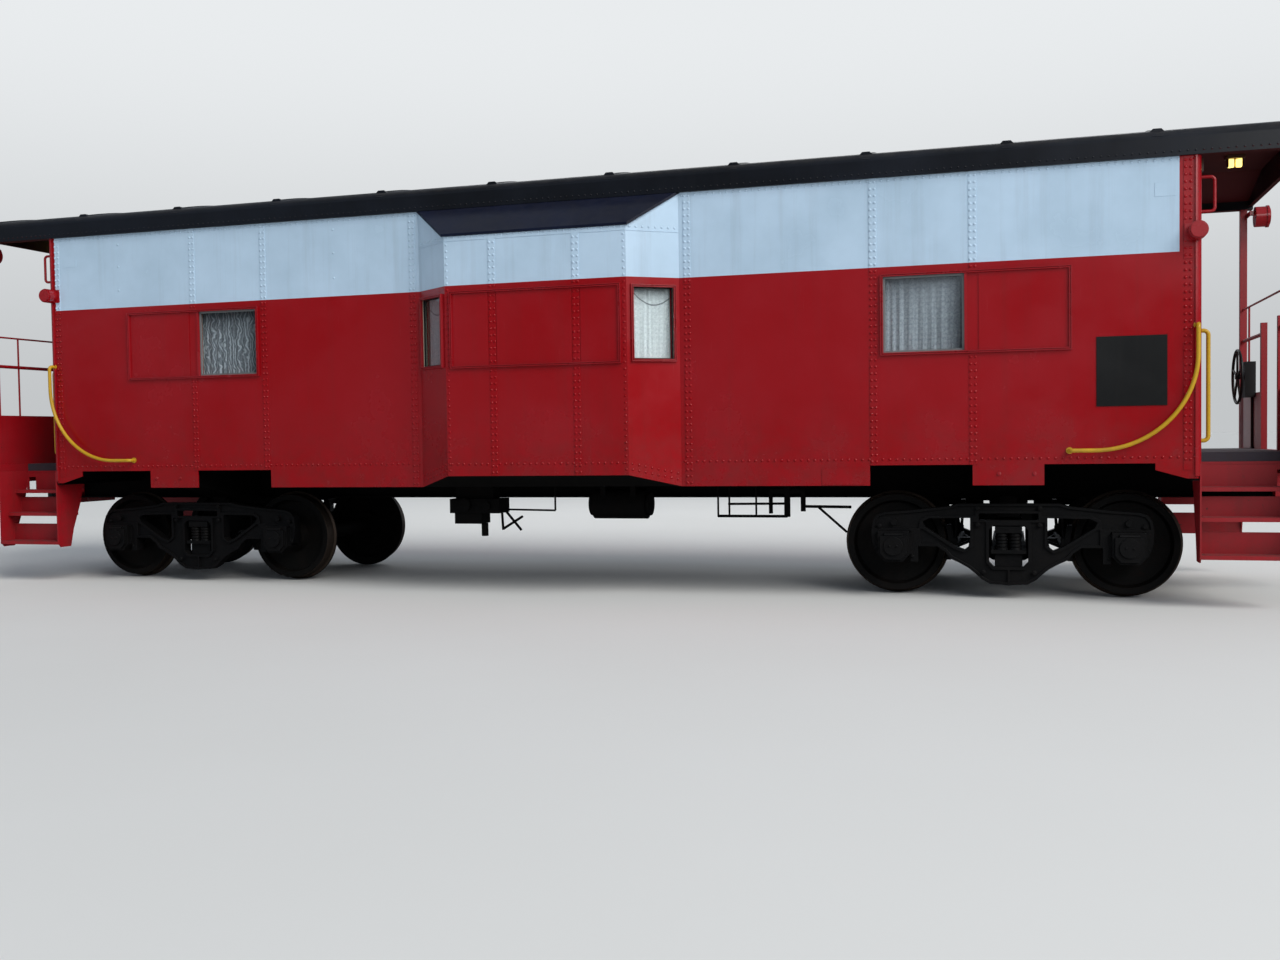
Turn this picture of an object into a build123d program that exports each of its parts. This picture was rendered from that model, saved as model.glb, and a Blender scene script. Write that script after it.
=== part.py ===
from build123d import *
from math import atan2, degrees, hypot
import os

# A steel bay-window caboose with a covered platform at each end, on two four-wheel trucks.
# Millimetres. +X runs along the car, -Y is the near side, +Z is up.
# The origin is under the middle of the car, at the lowest point of the wheel flanges.

# Wheels and axles
FLANGE_RADIUS = 444.5
TREAD_RADIUS = 419.0
WHEEL_BACK = 678.0
FLANGE_WIDTH = 34.0
RIM_WIDTH = 145.0
RIM_DEPTH = 58.0
WEB_THICKNESS = 26.0
HUB_RADIUS = 135.0
HUB_LENGTH = 175.0
AXLE_RADIUS = 82.0
WHEEL_SEAT_RADIUS = 92.0
JOURNAL_RADIUS = 70.0
AXLE_LENGTH = 2170.0
RAIL_HEAD = FLANGE_RADIUS - TREAD_RADIUS
AXLE_HEIGHT = FLANGE_RADIUS

# Trucks
TRUCK_CENTRES = 7800.0
WHEELBASE = 1850.0
FRAME_CENTRE = 1000.0
FRAME_THICKNESS = 100.0
FRAME_POCKET_DEPTH = 20.0
LUG_OFFSET = 420.0
LUG_WIDTH = 40.0
JAW_BOTTOM_HEIGHT = 300.0
JAW_LEG_WIDTH = 62.0
JAW_BOSS_RADIUS = 26.0
JAW_BOSS_RISE = 70.0
HANGER_FOOT_HALF = 30.0
FRAME_CHORD = (
    (0, 788), (400, 788), (480, 765), (800, 730), (1000, 716), (1064, 696), (1100, 650), (1114, 560),
    (1108, 470), (1084, 388),
)
FRAME_BELLY = (
    (570, 430), (505, 385), (465, 330), (400, 300), (320, 255), (265, 210), (220, 165), (150, 125), (0, 115),
)
FRAME_WINDOW = (
    (-118, 608), (118, 608), (155, 570), (155, 305), (118, 264), (-118, 264), (-155, 305), (-155, 570),
)
FRAME_SLOT = ((-235, 652), (235, 652), (235, 708), (-235, 708))
FRAME_OPENING = ((305, 670), (640, 664), (690, 636), (668, 592), (420, 430), (350, 402), (305, 440))
MIDDLE_POCKET = ((-240, 728), (240, 728), (240, 768), (-240, 768))
UPPER_POCKET = (
    (262, 690), (262, 768), (396, 768), (474, 745), (796, 710), (992, 697), (1048, 680), (1078, 640),
    (1090, 582), (722, 582), (712, 650), (652, 686),
)
LOWER_POCKET = (
    (8, 137), (148, 147), (206, 183), (250, 228), (306, 273), (392, 321), (448, 350), (490, 402), (563, 452),
    (708, 452), (708, 574), (684, 574), (432, 409), (352, 380), (283, 432), (283, 634), (177, 634), (177, 300),
    (126, 242), (8, 242),
)
BOX_WIDTH = 260.0
BOX_HEIGHT = 258.0
BOX_INNER_FACE = 850.0
BOX_OUTER_FACE = 1150.0
BOX_DROP = 142.0
BOX_GUIDE_WIDTH = 20.0
BOX_CORNER_WIDTH = 55.0
BOX_LID_MARGIN = 20.0
BOX_LID_DEPTH = 42.0
BOX_CAP_DEPTH = 16.0
BOX_CAP_RADIUS = 78.0
BOX_HINGE_RADIUS = 17.0
JOURNAL_END_PLAY = 6.0
PEDESTAL_GAP = 5.0
RUNNING_CLEARANCE = 0.05
TRUCK_BOLSTER_TOP = 655.0
TRUCK_BOLSTER_WIDTH = 216.0
TRUCK_BOLSTER_CENTRE = 400.0
TRUCK_BOLSTER_END_HEIGHT = 600.0
TRUCK_BOLSTER_DIP_DEPTH = 75.0
SPRING_TOP_HEIGHT = 545.0
BOWL_RADIUS = 190.0
BOWL_HEIGHT = 25.0
BOWL_DEPTH = 15.0
CENTRE_PLATE_RADIUS = 165.0
SEAT_CLEARANCE = 0.3
KING_PIN_RADIUS = 22.0
KING_PIN_DEPTH = 90.0
SIDE_BEARING_OFFSET = 635.0
SIDE_BEARING_GAP = 6.0
SPRING_RADIUS = 48.0
SPRING_WIRE = 17.0
SPRING_PITCH = 28.0
SPRING_HEIGHT = 140.0
SPRING_ROWS = (-994.0, -890.0)
PLANK_THICKNESS = 30.0
PLANK_WIDTH = 280.0
SHOE_GAP = 14.0
SHOE_THICKNESS = 45.0
SHOE_WIDTH = 70.0
HANGER_HEIGHT = 690.0
TRUSS_DEPTH = 110.0
SHOE_LENGTH = 300.0
BEAM_HEIGHT = 400.0
BEAM_RADIUS = 28.0
BEAM_ROD_RADIUS = 14.0
LEVER_LENGTH = 310.0

# Body
BODY_LENGTH = 10600.0
BODY_WIDTH = 2770.0
WALL_THICKNESS = 60.0
SKIRT_THICKNESS = 12.0
FLOOR_HEIGHT = 1195.0
FLOOR_THICKNESS = 75.0
EAVE_HEIGHT = 3450.0
SKIRT_BOTTOM_HEIGHT = 954.0
SKIRT_CUT_HALF = 1085.0
SKIRT_TAB_HALF = 273.0
SKIRT_END_BOTTOM_HEIGHT = 1002.0
SKIRT_END_STEP_HEIGHT = 1068.0
SKIRT_END_WIDTH = 90.0
CORNER_RADIUS = 26.0
PAD_START_OFFSET, PAD_END_OFFSET = 2420.0, 2770.0
PAD_BOTTOM_HEIGHT, PAD_TOP_HEIGHT = 962.0, 1100.0

# Bay
BAY_DEPTH = 285.0
BAY_WALL_HALF = 1220.0
BAY_FRONT_HALF = 835.0
BAY_THICKNESS = 50.0
BAY_BOTTOM_HEIGHT = 1060.0
BAY_ROOF_FALL = 275.0
BAY_ROOF_THICKNESS = 24.0
BAY_UNDERSIDE_THICKNESS = 20.0
BAY_ROOF_LIP = 18.0
BAY_FLOOR_THICKNESS = 30.0

# Roof
EAVE_LIP = 30.0
FASCIA_HEIGHT = 140.0
SHOULDER_IN = 75.0
SHOULDER_UP = 68.0
ARCH_RISE = 177.0
ROOF_DEPTH = 135.0
ROOF_OVERHANG = 50.0
CEILING_HALF = 700.0
CEILING_STEP = 80.0
HEADER_STEP = 30.0
HEADER_THICKNESS = 40.0

# Windows, doors and their trim
SIDE_WINDOW_INNER = 2930.0
SIDE_WINDOW_WIDTH = 640.0
SIDE_PLATE_INNER = 3680.0
SIDE_PLATE_WIDTH = 680.0
WINDOW_BOTTOM_HEIGHT = 2035.0
WINDOW_TOP_HEIGHT = 2650.0
TRIM_WIDTH = 22.0
TRIM_THICKNESS = 14.0
PLATE_THICKNESS = 6.0
GLASS_THICKNESS = 8.0
BAY_WINDOW_MARGIN_WIDTH = 58.0
BAY_WINDOW_BOTTOM_HEIGHT = 2040.0
BAY_WINDOW_TOP_HEIGHT = 2645.0
BAY_PLATE_EDGES = ((-765.0, -425.0), (-345.0, 345.0), (425.0, 765.0))
BAY_PLATE_MARGIN_WIDTH = 13.0
SEAM_WIDTH = 62.0
SEAM_THICKNESS = 4.0
SEAM_PLACES = (1290.0, 2850.0, 3635.0, 5215.0)
DOOR_OPENING_WIDTH = 680.0
DOOR_HEIGHT = 1905.0
DOOR_THICKNESS = 40.0
DOOR_GAP_WIDTH = 6.0
DOOR_STOP_WIDTH = 14.0
DOOR_STOP_DEPTH = 14.0
DOOR_WINDOW_WIDTH = 400.0
DOOR_WINDOW_HEIGHT = 620.0
DOOR_WINDOW_RISE_HEIGHT = 1050.0
KNOB_RADIUS = 27.0
KNOB_REACH = 62.0
KNOB_INSET = 70.0
KNOB_HEIGHT = 900.0
HINGE_OFFSET = 20.0
HINGE_PIN_RADIUS = 7.0
HINGE_KNUCKLE_RADIUS = 13.0
HINGE_ARM_RADIUS = 10.0
HINGE_KNUCKLE_HEIGHT = 90.0
HINGE_ARM_THICKNESS = 12.0
HINGE_LEAF_LENGTH = 70.0
HINGE_PLACES = (0.12, 0.5, 0.88)

SIGN_END_OFFSET = 230.0
SIGN_WIDTH = 510.0
SIGN_BOTTOM_HEIGHT = 1565.0
SIGN_HEIGHT = 540.0

# Curtains
CURTAIN_THICKNESS = 24.0
CURTAIN_GAP = 14.0
CURTAIN_MARGIN = 30.0
CURTAIN_ROD_RADIUS = 7.0
CURTAIN_ROD_BRACKET = 22.0
CURTAIN_ROD_INSET = 16.0

# Platforms, steps and railings
PLATFORM_LENGTH = 780.0
STEP_WELL_DEPTH = 400.0
END_SILL_THICKNESS = 60.0
END_SILL_BOTTOM = 1010.0
STRIKER_HALF = 320.0
STRIKER_BOTTOM = 745.0
STRINGER_THICKNESS = 12.0
STRINGER_PROFILE = (
    (0.0, 1120.0), (0.0, 395.0), (40.0, 352.0), (176.0, 352.0), (222.0, 530.0), (330.0, 800.0), (400.0, 1120.0),
)
TREAD_THICKNESS = 32.0
STEP_TREADS = ((380.0, 0.0, 186.0, 168.0), (664.0, 95.0, 290.0, 155.0), (893.0, 205.0, 385.0, 170.0))
RISER_THICKNESS = 10.0
RISER_SLOT_WIDTH = 90.0
RISER_SLOT_INSET = 16.0
CORNER_POST = 60.0
GATE_POST = 50.0
GATE_HALF = 330.0
GATE_POST_TOP = 2300.0
BULWARK_TOP = 1700.0
RAIL_HEIGHT = 2205.0
RAIL_BAR_INSET = 315.0
BULWARK_THICKNESS = 10.0
RAIL_RADIUS = 17.0
UPPER_RAIL_HEIGHT = 2505.0
UPPER_RAIL_RADIUS = 9.0

HAND_BRAKE_OFFSET = 790.0
HAND_BRAKE_HEIGHT = 1850.0
HAND_BRAKE_DEPTH = 90.0
HAND_BRAKE_WIDTH = 220.0
HAND_BRAKE_DROP = 190.0
CHAIN_PIPE_RADIUS = 12.0
HAND_WHEEL_RADIUS = 240.0

# Handholds and lamps
GRAB_RADIUS = 16.0
GRAB_STANDOFF = 70.0
GRAB_TOP = 2170.0
GRAB_BEND_RADIUS = 730.0
GRAB_BOTTOM = 1225.0
GRAB_FROM_END = 20.0
GRAB_RUN = 920.0
FOOT_RADIUS = 26.0
FOOT_THICKNESS = 8.0
END_GRAB_BOTTOM = 1290.0
END_GRAB_TOP = 2130.0
END_GRAB_INSET = 90.0
ROOF_GRAB_DROP = 160.0
ROOF_GRAB_LENGTH = 260.0
ROOF_GRAB_STANDOFF = 110.0
ROOF_GRAB_RADIUS = 12.0
ROOF_GRAB_INSET = 60.0
CORNER_LAMP_RADIUS = 68.0
CORNER_LAMP_LENGTH = 120.0
CORNER_LAMP_HEIGHT = 2875.0
CORNER_LAMP_FROM_END = 22.0
MARKER_RADIUS = 94.0
MARKER_LENGTH = 118.0
MARKER_DROP_HEIGHT = 122.0
MARKER_INSET_WIDTH = 165.0
MARKER_STANDOFF = 44.0
CANOPY_LAMP_SHARE = 0.59
CANOPY_LAMP_LENGTH = 150.0
CANOPY_LAMP_WIDTH = 96.0
CANOPY_LAMP_BASE = 28.0
BULB_RADIUS = 31.0
BULB_LENGTH = 96.0
WALL_BOX_SIDE = 46.0
WALL_BOX_HEIGHT = 96.0
WALL_BOX_OFFSET = 1200.0

# Underframe and couplers
SILL_HALF = 165.0
SILL_BOTTOM = 800.0
SILL_WEB = 12.0
SILL_FLANGE = 90.0
BODY_BOLSTER_WIDTH = 320.0
BODY_BOLSTER_BOTTOM = 735.0
BOLSTER_KNEE_OFFSET = 700.0
BOLSTER_KNEE_RISE = 105.0
BOLSTER_TIP_DEPTH = 110.0
CROSSBEARER_PLACES = (-2350.0, -1180.0, 0.0, 1180.0, 2350.0)
CROSSBEARER_WIDTH = 110.0
END_BEARER_WIDTH = 60.0
CROSSBEARER_BOTTOM = 985.0
CROSSBEARER_WEB = 10.0
COUPLER_HEIGHT = RAIL_HEAD + 876.0
COUPLER_REACH = 480.0
SHANK_WIDTH = 128.0
SHANK_HEIGHT = 150.0
SHANK_LENGTH = 700.0
DRAFT_GEAR_LENGTH = 380.0
HEAD_HEIGHT = 270.0
HEAD_OUTLINE = (
    (-270, -95), (-205, -150), (-130, -196), (-30, -214), (48, -204), (62, -176), (40, -142), (-60, -112),
    (-100, -62), (-100, 42), (-62, 66), (-62, 168), (-96, 182), (-150, 172), (-215, 136), (-270, 95),
)
KNUCKLE_OUTLINE = (
    (-110, 40), (-62, 16), (-44, -38), (-8, -52), (12, -34), (14, 62), (2, 116), (-30, 160), (-72, 170),
    (-110, 140),
)
KNUCKLE_HEIGHT = 228.0
KNUCKLE_PIN = (-66.0, 118.0)
KNUCKLE_PIN_RADIUS = 22.0
CUT_LEVER_HEIGHT = 1082.0
CUT_LEVER_DROP = 210.0
CUT_LEVER_INSET = 70.0
CUT_LEVER_STANDOFF = 62.0
CUT_LEVER_RADIUS = 12.0

TRAIN_PIPE_OFFSET = 360.0
TRAIN_PIPE_HEIGHT = 895.0
TRAIN_PIPE_RADIUS = 21.1
TRAIN_PIPE_HALF = 6180.0
COCK_LENGTH = 80.0
COCK_RADIUS = 38.0
NIPPLE_RADIUS = 20.0
NIPPLE_LENGTH = 60.0
NIPPLE_NECK_LENGTH = 8.0
RESERVOIR_OFFSET = 640.0
RESERVOIR_HEIGHT = 762.0
RESERVOIR_START = 185.0
RESERVOIR_RADIUS = 139.0
RESERVOIR_LENGTH = 510.0
RESERVOIR_HEAD_LENGTH = 35.0
RESERVOIR_SADDLE_INSET = 110.0
RESERVOIR_SADDLE_WIDTH = 50.0
CYLINDER_OFFSET = 600.0
CYLINDER_HEIGHT = 930.0
CYLINDER_RADIUS = 145.0
CYLINDER_END = -250.0
CYLINDER_LENGTH = 450.0
CYLINDER_FLANGE_LENGTH = 35.0
CYLINDER_NECK_LENGTH = 60.0
PUSH_ROD_LENGTH = 320.0
PUSH_ROD_RADIUS = 22.0

# The brake valve, and the levers and rods on it and beside it: heights are absolute, the rest along and across
VALVE_LEFT, VALVE_RIGHT = -1140.0, -640.0
VALVE_FRONT, VALVE_BACK = -1010.0, -760.0
VALVE_CHAMBER_BOTTOM, VALVE_BOTTOM, VALVE_TOP = 590.0, 690.0, 825.0
VALVE_STEM_PLACE = (-840.0, -885.0)
VALVE_STEM_BOTTOM = 470.0
VALVE_STEM_RADIUS = 32.0
VALVE_CAPS = ((-980.0, 770.0, 40.0, 62.0), (-760.0, 760.0, 30.0, 40.0))
VALVE_ROD_INSET = 40.0
VALVE_LEVERS = (
    ((-660.0, 700.0), (-505.0, 520.0), 12.0), ((-700.0, 700.0), (-690.0, 520.0), 12.0),
    ((-690.0, 530.0), (-490.0, 650.0), 12.0),
)
RELEASE_ROD_START = (-650.0, 715.0)
RELEASE_ROD_END = (-160.0, 707.0)
RELEASE_ROD_RADIUS = 9.0
BRAKE_ROD_OFFSET = 560.0
HANGING_LEVER = (1960.0, 2010.0, 20.0, 640.0)
PULL_LEVERS = (
    (2110.0, 2150.0, 20.0, 690.0, 880.0), (1820.0, 2150.0, 12.0, 850.0, 890.0),
    (1820.0, 1850.0, 20.0, 670.0, 890.0),
)
PULL_RODS = (
    ((1340.0, 645.0), (1985.0, 645.0), 13.0), ((1985.0, 760.0), (1440.0, 756.0), 11.0),
    ((2130.0, 735.0), (2560.0, 730.0), 13.0), ((2260.0, 735.0), (2520.0, 505.0), 11.0),
)
PULL_HANGERS = (1345.0, 1450.0, 1700.0)
PULL_HANGER_RADIUS = 9.0
TRAIN_PIPE_HANGERS = (-5500.0, -2000.0, -590.0, 590.0, 2000.0, 5500.0)
PIPE_HOLE_CLEARANCE = 14.0

# Derived places
CROWN = EAVE_HEIGHT + FASCIA_HEIGHT + SHOULDER_UP + ARCH_RISE
CEILING_HEIGHT = CROWN - ROOF_DEPTH
CEILING_EAVE = EAVE_HEIGHT + CEILING_STEP
HEADER_BOTTOM = EAVE_HEIGHT + HEADER_STEP
ROOF_GRAB_TOP = EAVE_HEIGHT - ROOF_GRAB_DROP
ROOF_GRAB_BOTTOM = ROOF_GRAB_TOP - ROOF_GRAB_LENGTH
BAY_TOP_HEIGHT = EAVE_HEIGHT - BAY_ROOF_FALL
WINDOW_SPAN = (WINDOW_BOTTOM_HEIGHT, WINDOW_TOP_HEIGHT)
BAY_WINDOW_SPAN = (BAY_WINDOW_BOTTOM_HEIGHT, BAY_WINDOW_TOP_HEIGHT)
BAY_PLATE_SPAN = (
    BAY_WINDOW_BOTTOM_HEIGHT - BAY_PLATE_MARGIN_WIDTH, BAY_WINDOW_TOP_HEIGHT + BAY_PLATE_MARGIN_WIDTH,
)
HALF_LENGTH = BODY_LENGTH / 2
HALF_WIDTH = BODY_WIDTH / 2
HALF_TRUCKS = TRUCK_CENTRES / 2
PLATFORM_END = HALF_LENGTH + PLATFORM_LENGTH
ROOF_HALF = PLATFORM_END + ROOF_OVERHANG
FLOOR_BOTTOM = FLOOR_HEIGHT - FLOOR_THICKNESS
DECK_HALF = HALF_WIDTH - STEP_WELL_DEPTH
BAY_FACE = HALF_WIDTH + BAY_DEPTH
BAY_RUN = hypot(BAY_WALL_HALF - BAY_FRONT_HALF, BAY_DEPTH)
BAY_NORMAL_X = BAY_DEPTH / BAY_RUN
BAY_NORMAL_Y = (BAY_WALL_HALF - BAY_FRONT_HALF) / BAY_RUN
BAY_INNER_WALL = BAY_WALL_HALF - BAY_THICKNESS / BAY_NORMAL_X
BAY_INNER_FRONT = BAY_WALL_HALF - (BAY_THICKNESS + BAY_NORMAL_Y * (BAY_DEPTH - BAY_THICKNESS)) / BAY_NORMAL_X
DOOR_TOP = FLOOR_HEIGHT + DOOR_HEIGHT
BOX_TOP = AXLE_HEIGHT - BOX_DROP + BOX_HEIGHT
BOX_BOTTOM = AXLE_HEIGHT - BOX_DROP


def block(x_low, x_high, y_low, y_high, z_low, z_high):
    """A rectangular solid between two corners."""
    size = (x_high - x_low, y_high - y_low, z_high - z_low)
    middle = ((x_low + x_high) / 2, (y_low + y_high) / 2, (z_low + z_high) / 2)
    return Pos(*middle) * Box(*size)


def rod(start, end, radius):
    """A round bar from one point to another."""
    path = Vector(*end) - Vector(*start)
    plane = Plane(origin=start, z_dir=path)
    return plane * Cylinder(radius, path.length, align=(Align.CENTER, Align.CENTER, Align.MIN))


def plate_xz(points, y_low, y_high):
    """A plate whose outline is given in X and Z, between two values of Y."""
    face = make_face(Polyline([(x, 0, z) for x, z in points], close=True))
    return Pos(0, y_low, 0) * extrude(face, y_high - y_low, dir=(0, 1, 0))


def plate_yz(points, x_low, x_high):
    """A plate whose outline is given in Y and Z, between two values of X."""
    face = make_face(Polyline([(0, y, z) for y, z in points], close=True))
    return Pos(x_low, 0, 0) * extrude(face, x_high - x_low, dir=(1, 0, 0))


def plate_xy(points, z_low, z_high):
    """A plate whose outline is given in X and Y, between two values of Z."""
    face = make_face(Polyline([(x, y, 0) for x, y in points], close=True))
    return Pos(0, 0, z_low) * extrude(face, z_high - z_low, dir=(0, 0, 1))


def turned(points):
    """A solid of revolution about the Y axis, from its half section in Y and radius."""
    face = make_face(Polyline([(0, y, r) for y, r in points], close=True))
    return revolve(face, Axis.Y)


def bent_bar(points, bend, radius):
    """A round bar along a path of straight runs joined by arcs of one radius."""
    path = FilletPolyline(*points, radius=bend)
    section = Plane(origin=path @ 0, z_dir=path % 0) * Circle(radius)
    return sweep(section, path=path)


def mirrored_x(points):
    """An outline that is given for +X only, closed by its mirror image."""
    return list(points) + [(-x, z) for x, z in reversed(points) if x > 0]


def to_far(solid):
    """The mirror image of a near-side piece on the far side."""
    return mirror(solid, Plane.XZ)


def to_end_a(solid):
    """An end-B piece turned half round to end A."""
    return Rot(0, 0, 180) * solid


# Trucks

def wheelset():
    """One axle with its two wheels, centred on the origin and lying along Y."""
    back = WHEEL_BACK
    front = WHEEL_BACK + RIM_WIDTH
    web_middle = (back + front) / 2
    hub_inner = web_middle - HUB_LENGTH / 2
    hub_outer = web_middle + HUB_LENGTH / 2
    rim_inner = TREAD_RADIUS - RIM_DEPTH
    web = WEB_THICKNESS / 2
    half = [
        (0, 0), (0, AXLE_RADIUS), (hub_inner - 30, AXLE_RADIUS), (hub_inner, WHEEL_SEAT_RADIUS),
        (hub_inner, HUB_RADIUS), (web_middle - web, HUB_RADIUS + 30), (web_middle - web, rim_inner - 20),
        (back, rim_inner), (back, FLANGE_RADIUS - 10), (back + 10, FLANGE_RADIUS),
        (back + 22, FLANGE_RADIUS - 3), (back + FLANGE_WIDTH, TREAD_RADIUS + 3),
        (front - 8, TREAD_RADIUS - 4), (front, TREAD_RADIUS - 10), (front, rim_inner),
        (web_middle + web, rim_inner - 20), (web_middle + web, HUB_RADIUS + 30), (hub_outer, HUB_RADIUS),
        (hub_outer, JOURNAL_RADIUS), (AXLE_LENGTH / 2, JOURNAL_RADIUS), (AXLE_LENGTH / 2, 0),
    ]
    right = turned(half)
    return right + mirror(right, Plane.XZ)


def side_frame():
    """The near cast side frame of a truck, about the truck's centre."""
    jaw_inner = WHEELBASE / 2 - BOX_WIDTH / 2 - PEDESTAL_GAP
    jaw_outer = WHEELBASE / 2 + BOX_WIDTH / 2 + PEDESTAL_GAP
    jaw_low = JAW_BOTTOM_HEIGHT
    jaws = ((jaw_outer, FRAME_CHORD[-1][1]), (jaw_outer, BOX_TOP), (jaw_inner, BOX_TOP), (jaw_inner, jaw_low))
    leg = ((jaw_inner - JAW_LEG_WIDTH, jaw_low), (jaw_inner - JAW_LEG_WIDTH, FRAME_BELLY[0][1]))
    y_low = -FRAME_CENTRE - FRAME_THICKNESS / 2
    y_high = y_low + FRAME_THICKNESS
    frame = plate_xz(mirrored_x(FRAME_CHORD + jaws + leg + FRAME_BELLY), y_low, y_high)
    for hole in (FRAME_WINDOW, FRAME_SLOT, FRAME_OPENING, [(-x, z) for x, z in FRAME_OPENING]):
        frame -= plate_xz(hole, y_low - 1, y_high + 1)
    pockets = [MIDDLE_POCKET]
    for pocket in (UPPER_POCKET, LOWER_POCKET):
        pockets += [pocket, [(-x, z) for x, z in pocket]]
    for pocket in pockets:
        frame -= plate_xz(pocket, y_low - 1, y_low + FRAME_POCKET_DEPTH)
        frame -= plate_xz(pocket, y_high - FRAME_POCKET_DEPTH, y_high + 1)
    for x in (-WHEELBASE / 2, WHEELBASE / 2):
        boss_z = BOX_TOP + JAW_BOSS_RISE
        frame += rod((x, y_low - 16, boss_z), (x, y_low + FRAME_POCKET_DEPTH, boss_z), JAW_BOSS_RADIUS)
    inner_end = -WHEEL_BACK - RIM_WIDTH / 2 + HANGER_FOOT_HALF
    lug_half, lug_back = LUG_WIDTH / 2, y_high - FRAME_POCKET_DEPTH - 5
    lug_top = HANGER_HEIGHT + LUG_WIDTH
    lug = block(LUG_OFFSET - lug_half, LUG_OFFSET + lug_half, lug_back, inner_end, HANGER_HEIGHT, lug_top)
    return frame + lug + mirror(lug, Plane.YZ)


def box_outline(low, high, bottom, top, cut, slope):
    """A journal box outline with its two lower corners cut off."""
    return [
        (low, top), (low, bottom + slope), (low + cut, bottom),
        (high - cut, bottom), (high, bottom + slope), (high, top),
    ]


def journal_box(x):
    """One near-side journal box, open at the back for the axle's journal."""
    half = BOX_WIDTH / 2
    low, high, face = x - half, x + half, -BOX_OUTER_FACE
    cut, slope = BOX_CORNER_WIDTH, BOX_CORNER_WIDTH + 5
    outline = box_outline(low, high, BOX_BOTTOM, BOX_TOP, cut, slope)
    box = plate_xz(outline, face + BOX_LID_DEPTH, -BOX_INNER_FACE)
    frame_face = -FRAME_CENTRE - FRAME_THICKNESS / 2
    guide_low, guide_high = BOX_BOTTOM + slope, BOX_TOP - BOX_GUIDE_WIDTH
    guides = (low - BOX_GUIDE_WIDTH, high + BOX_GUIDE_WIDTH)
    box += block(*guides, frame_face - 14, frame_face, guide_low, guide_high)
    edge = BOX_LID_MARGIN
    lid = box_outline(low + edge, high - edge, BOX_BOTTOM + edge, BOX_TOP - 2 * edge, cut - 8, slope - 8)
    box += plate_xz(lid, face + BOX_CAP_DEPTH, face + BOX_LID_DEPTH)
    box += rod((x, face, AXLE_HEIGHT - 8), (x, face + BOX_CAP_DEPTH, AXLE_HEIGHT - 8), BOX_CAP_RADIUS)
    hinge_y, hinge_z = face + BOX_LID_DEPTH - 8, BOX_TOP - 30
    box += rod((low + cut, hinge_y, hinge_z), (high - cut, hinge_y, hinge_z), BOX_HINGE_RADIUS)
    bore_start = (x, -AXLE_LENGTH / 2 - JOURNAL_END_PLAY, AXLE_HEIGHT)
    bore = rod(bore_start, (x, -BOX_INNER_FACE + 1, AXLE_HEIGHT), JOURNAL_RADIUS + RUNNING_CLEARANCE)
    return box - bore


def truck_bolster():
    """The cross member under the car, with its centre bowl and side bearings."""
    half = TRUCK_BOLSTER_WIDTH / 2
    end = FRAME_CENTRE + FRAME_THICKNESS / 2 - 10
    top, shelf, seat = TRUCK_BOLSTER_TOP, TRUCK_BOLSTER_END_HEIGHT, SPRING_TOP_HEIGHT
    belly = seat - TRUCK_BOLSTER_DIP_DEPTH
    upper = [(end, shelf), (end - 150, shelf), (end - 290, top)]
    lower = [(end, seat), (end - 215, seat), (end - 360, belly)]
    left = [(-y, z) for y, z in reversed(upper)] + [(-y, z) for y, z in lower]
    outline = upper + left + list(reversed(lower))
    beam = plate_yz(outline, -half, half)
    centre = TRUCK_BOLSTER_CENTRE / 2
    beam += block(-centre, centre, -centre - 30, centre + 30, seat - 5, top)
    bowl = rod((0, 0, top), (0, 0, top + BOWL_HEIGHT), BOWL_RADIUS)
    rim = top + BOWL_HEIGHT
    recess = rod((0, 0, rim - BOWL_DEPTH), (0, 0, rim + 1), CENTRE_PLATE_RADIUS + SEAT_CLEARANCE)
    pin_hole = rod((0, 0, top - KING_PIN_DEPTH - 5), (0, 0, rim + 1), KING_PIN_RADIUS + RUNNING_CLEARANCE)
    bearing = block(-90, 90, -SIDE_BEARING_OFFSET - 45, -SIDE_BEARING_OFFSET + 45, top, rim)
    return beam + bowl + bearing + to_far(bearing) - recess - pin_hole


def coil_spring():
    """One coil spring as a closed solid whose side follows the coils."""
    turns = round(SPRING_HEIGHT / SPRING_PITCH)
    pitch = SPRING_HEIGHT / turns
    side = [(SPRING_RADIUS, 0)]
    for turn in range(turns):
        base = turn * pitch
        side += [(SPRING_RADIUS, base + pitch * 0.62), (SPRING_RADIUS - SPRING_WIRE * 0.6, base + pitch * 0.81)]
        if turn < turns - 1:
            side.append((SPRING_RADIUS, base + pitch))
    side.append((SPRING_RADIUS - SPRING_WIRE * 0.6, SPRING_HEIGHT))
    face = make_face(Polyline([(0, 0, 0)] + [(r, 0, z) for r, z in side] + [(0, 0, SPRING_HEIGHT)], close=True))
    return revolve(face, Axis.Z)


def spring_group():
    """The coil springs, their lower plank and its seats in both side frames."""
    solids = []
    low = SPRING_TOP_HEIGHT - SPRING_HEIGHT
    plank_low = low - PLANK_THICKNESS
    half, reach = PLANK_WIDTH / 2, FRAME_CENTRE + FRAME_THICKNESS / 2 - 10
    plank = block(-half, half, -reach, reach, plank_low, low)
    seat = block(30 - half, half - 30, -FRAME_CENTRE, -FRAME_CENTRE + 45, FRAME_WINDOW[4][1], plank_low)
    solids.append(plank + seat + to_far(seat))
    for x in (-SPRING_RADIUS - 6, SPRING_RADIUS + 6):
        for y in SPRING_ROWS:
            coil = Pos(x, y, low) * coil_spring()
            solids += [coil, to_far(coil)]
    return solids


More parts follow.
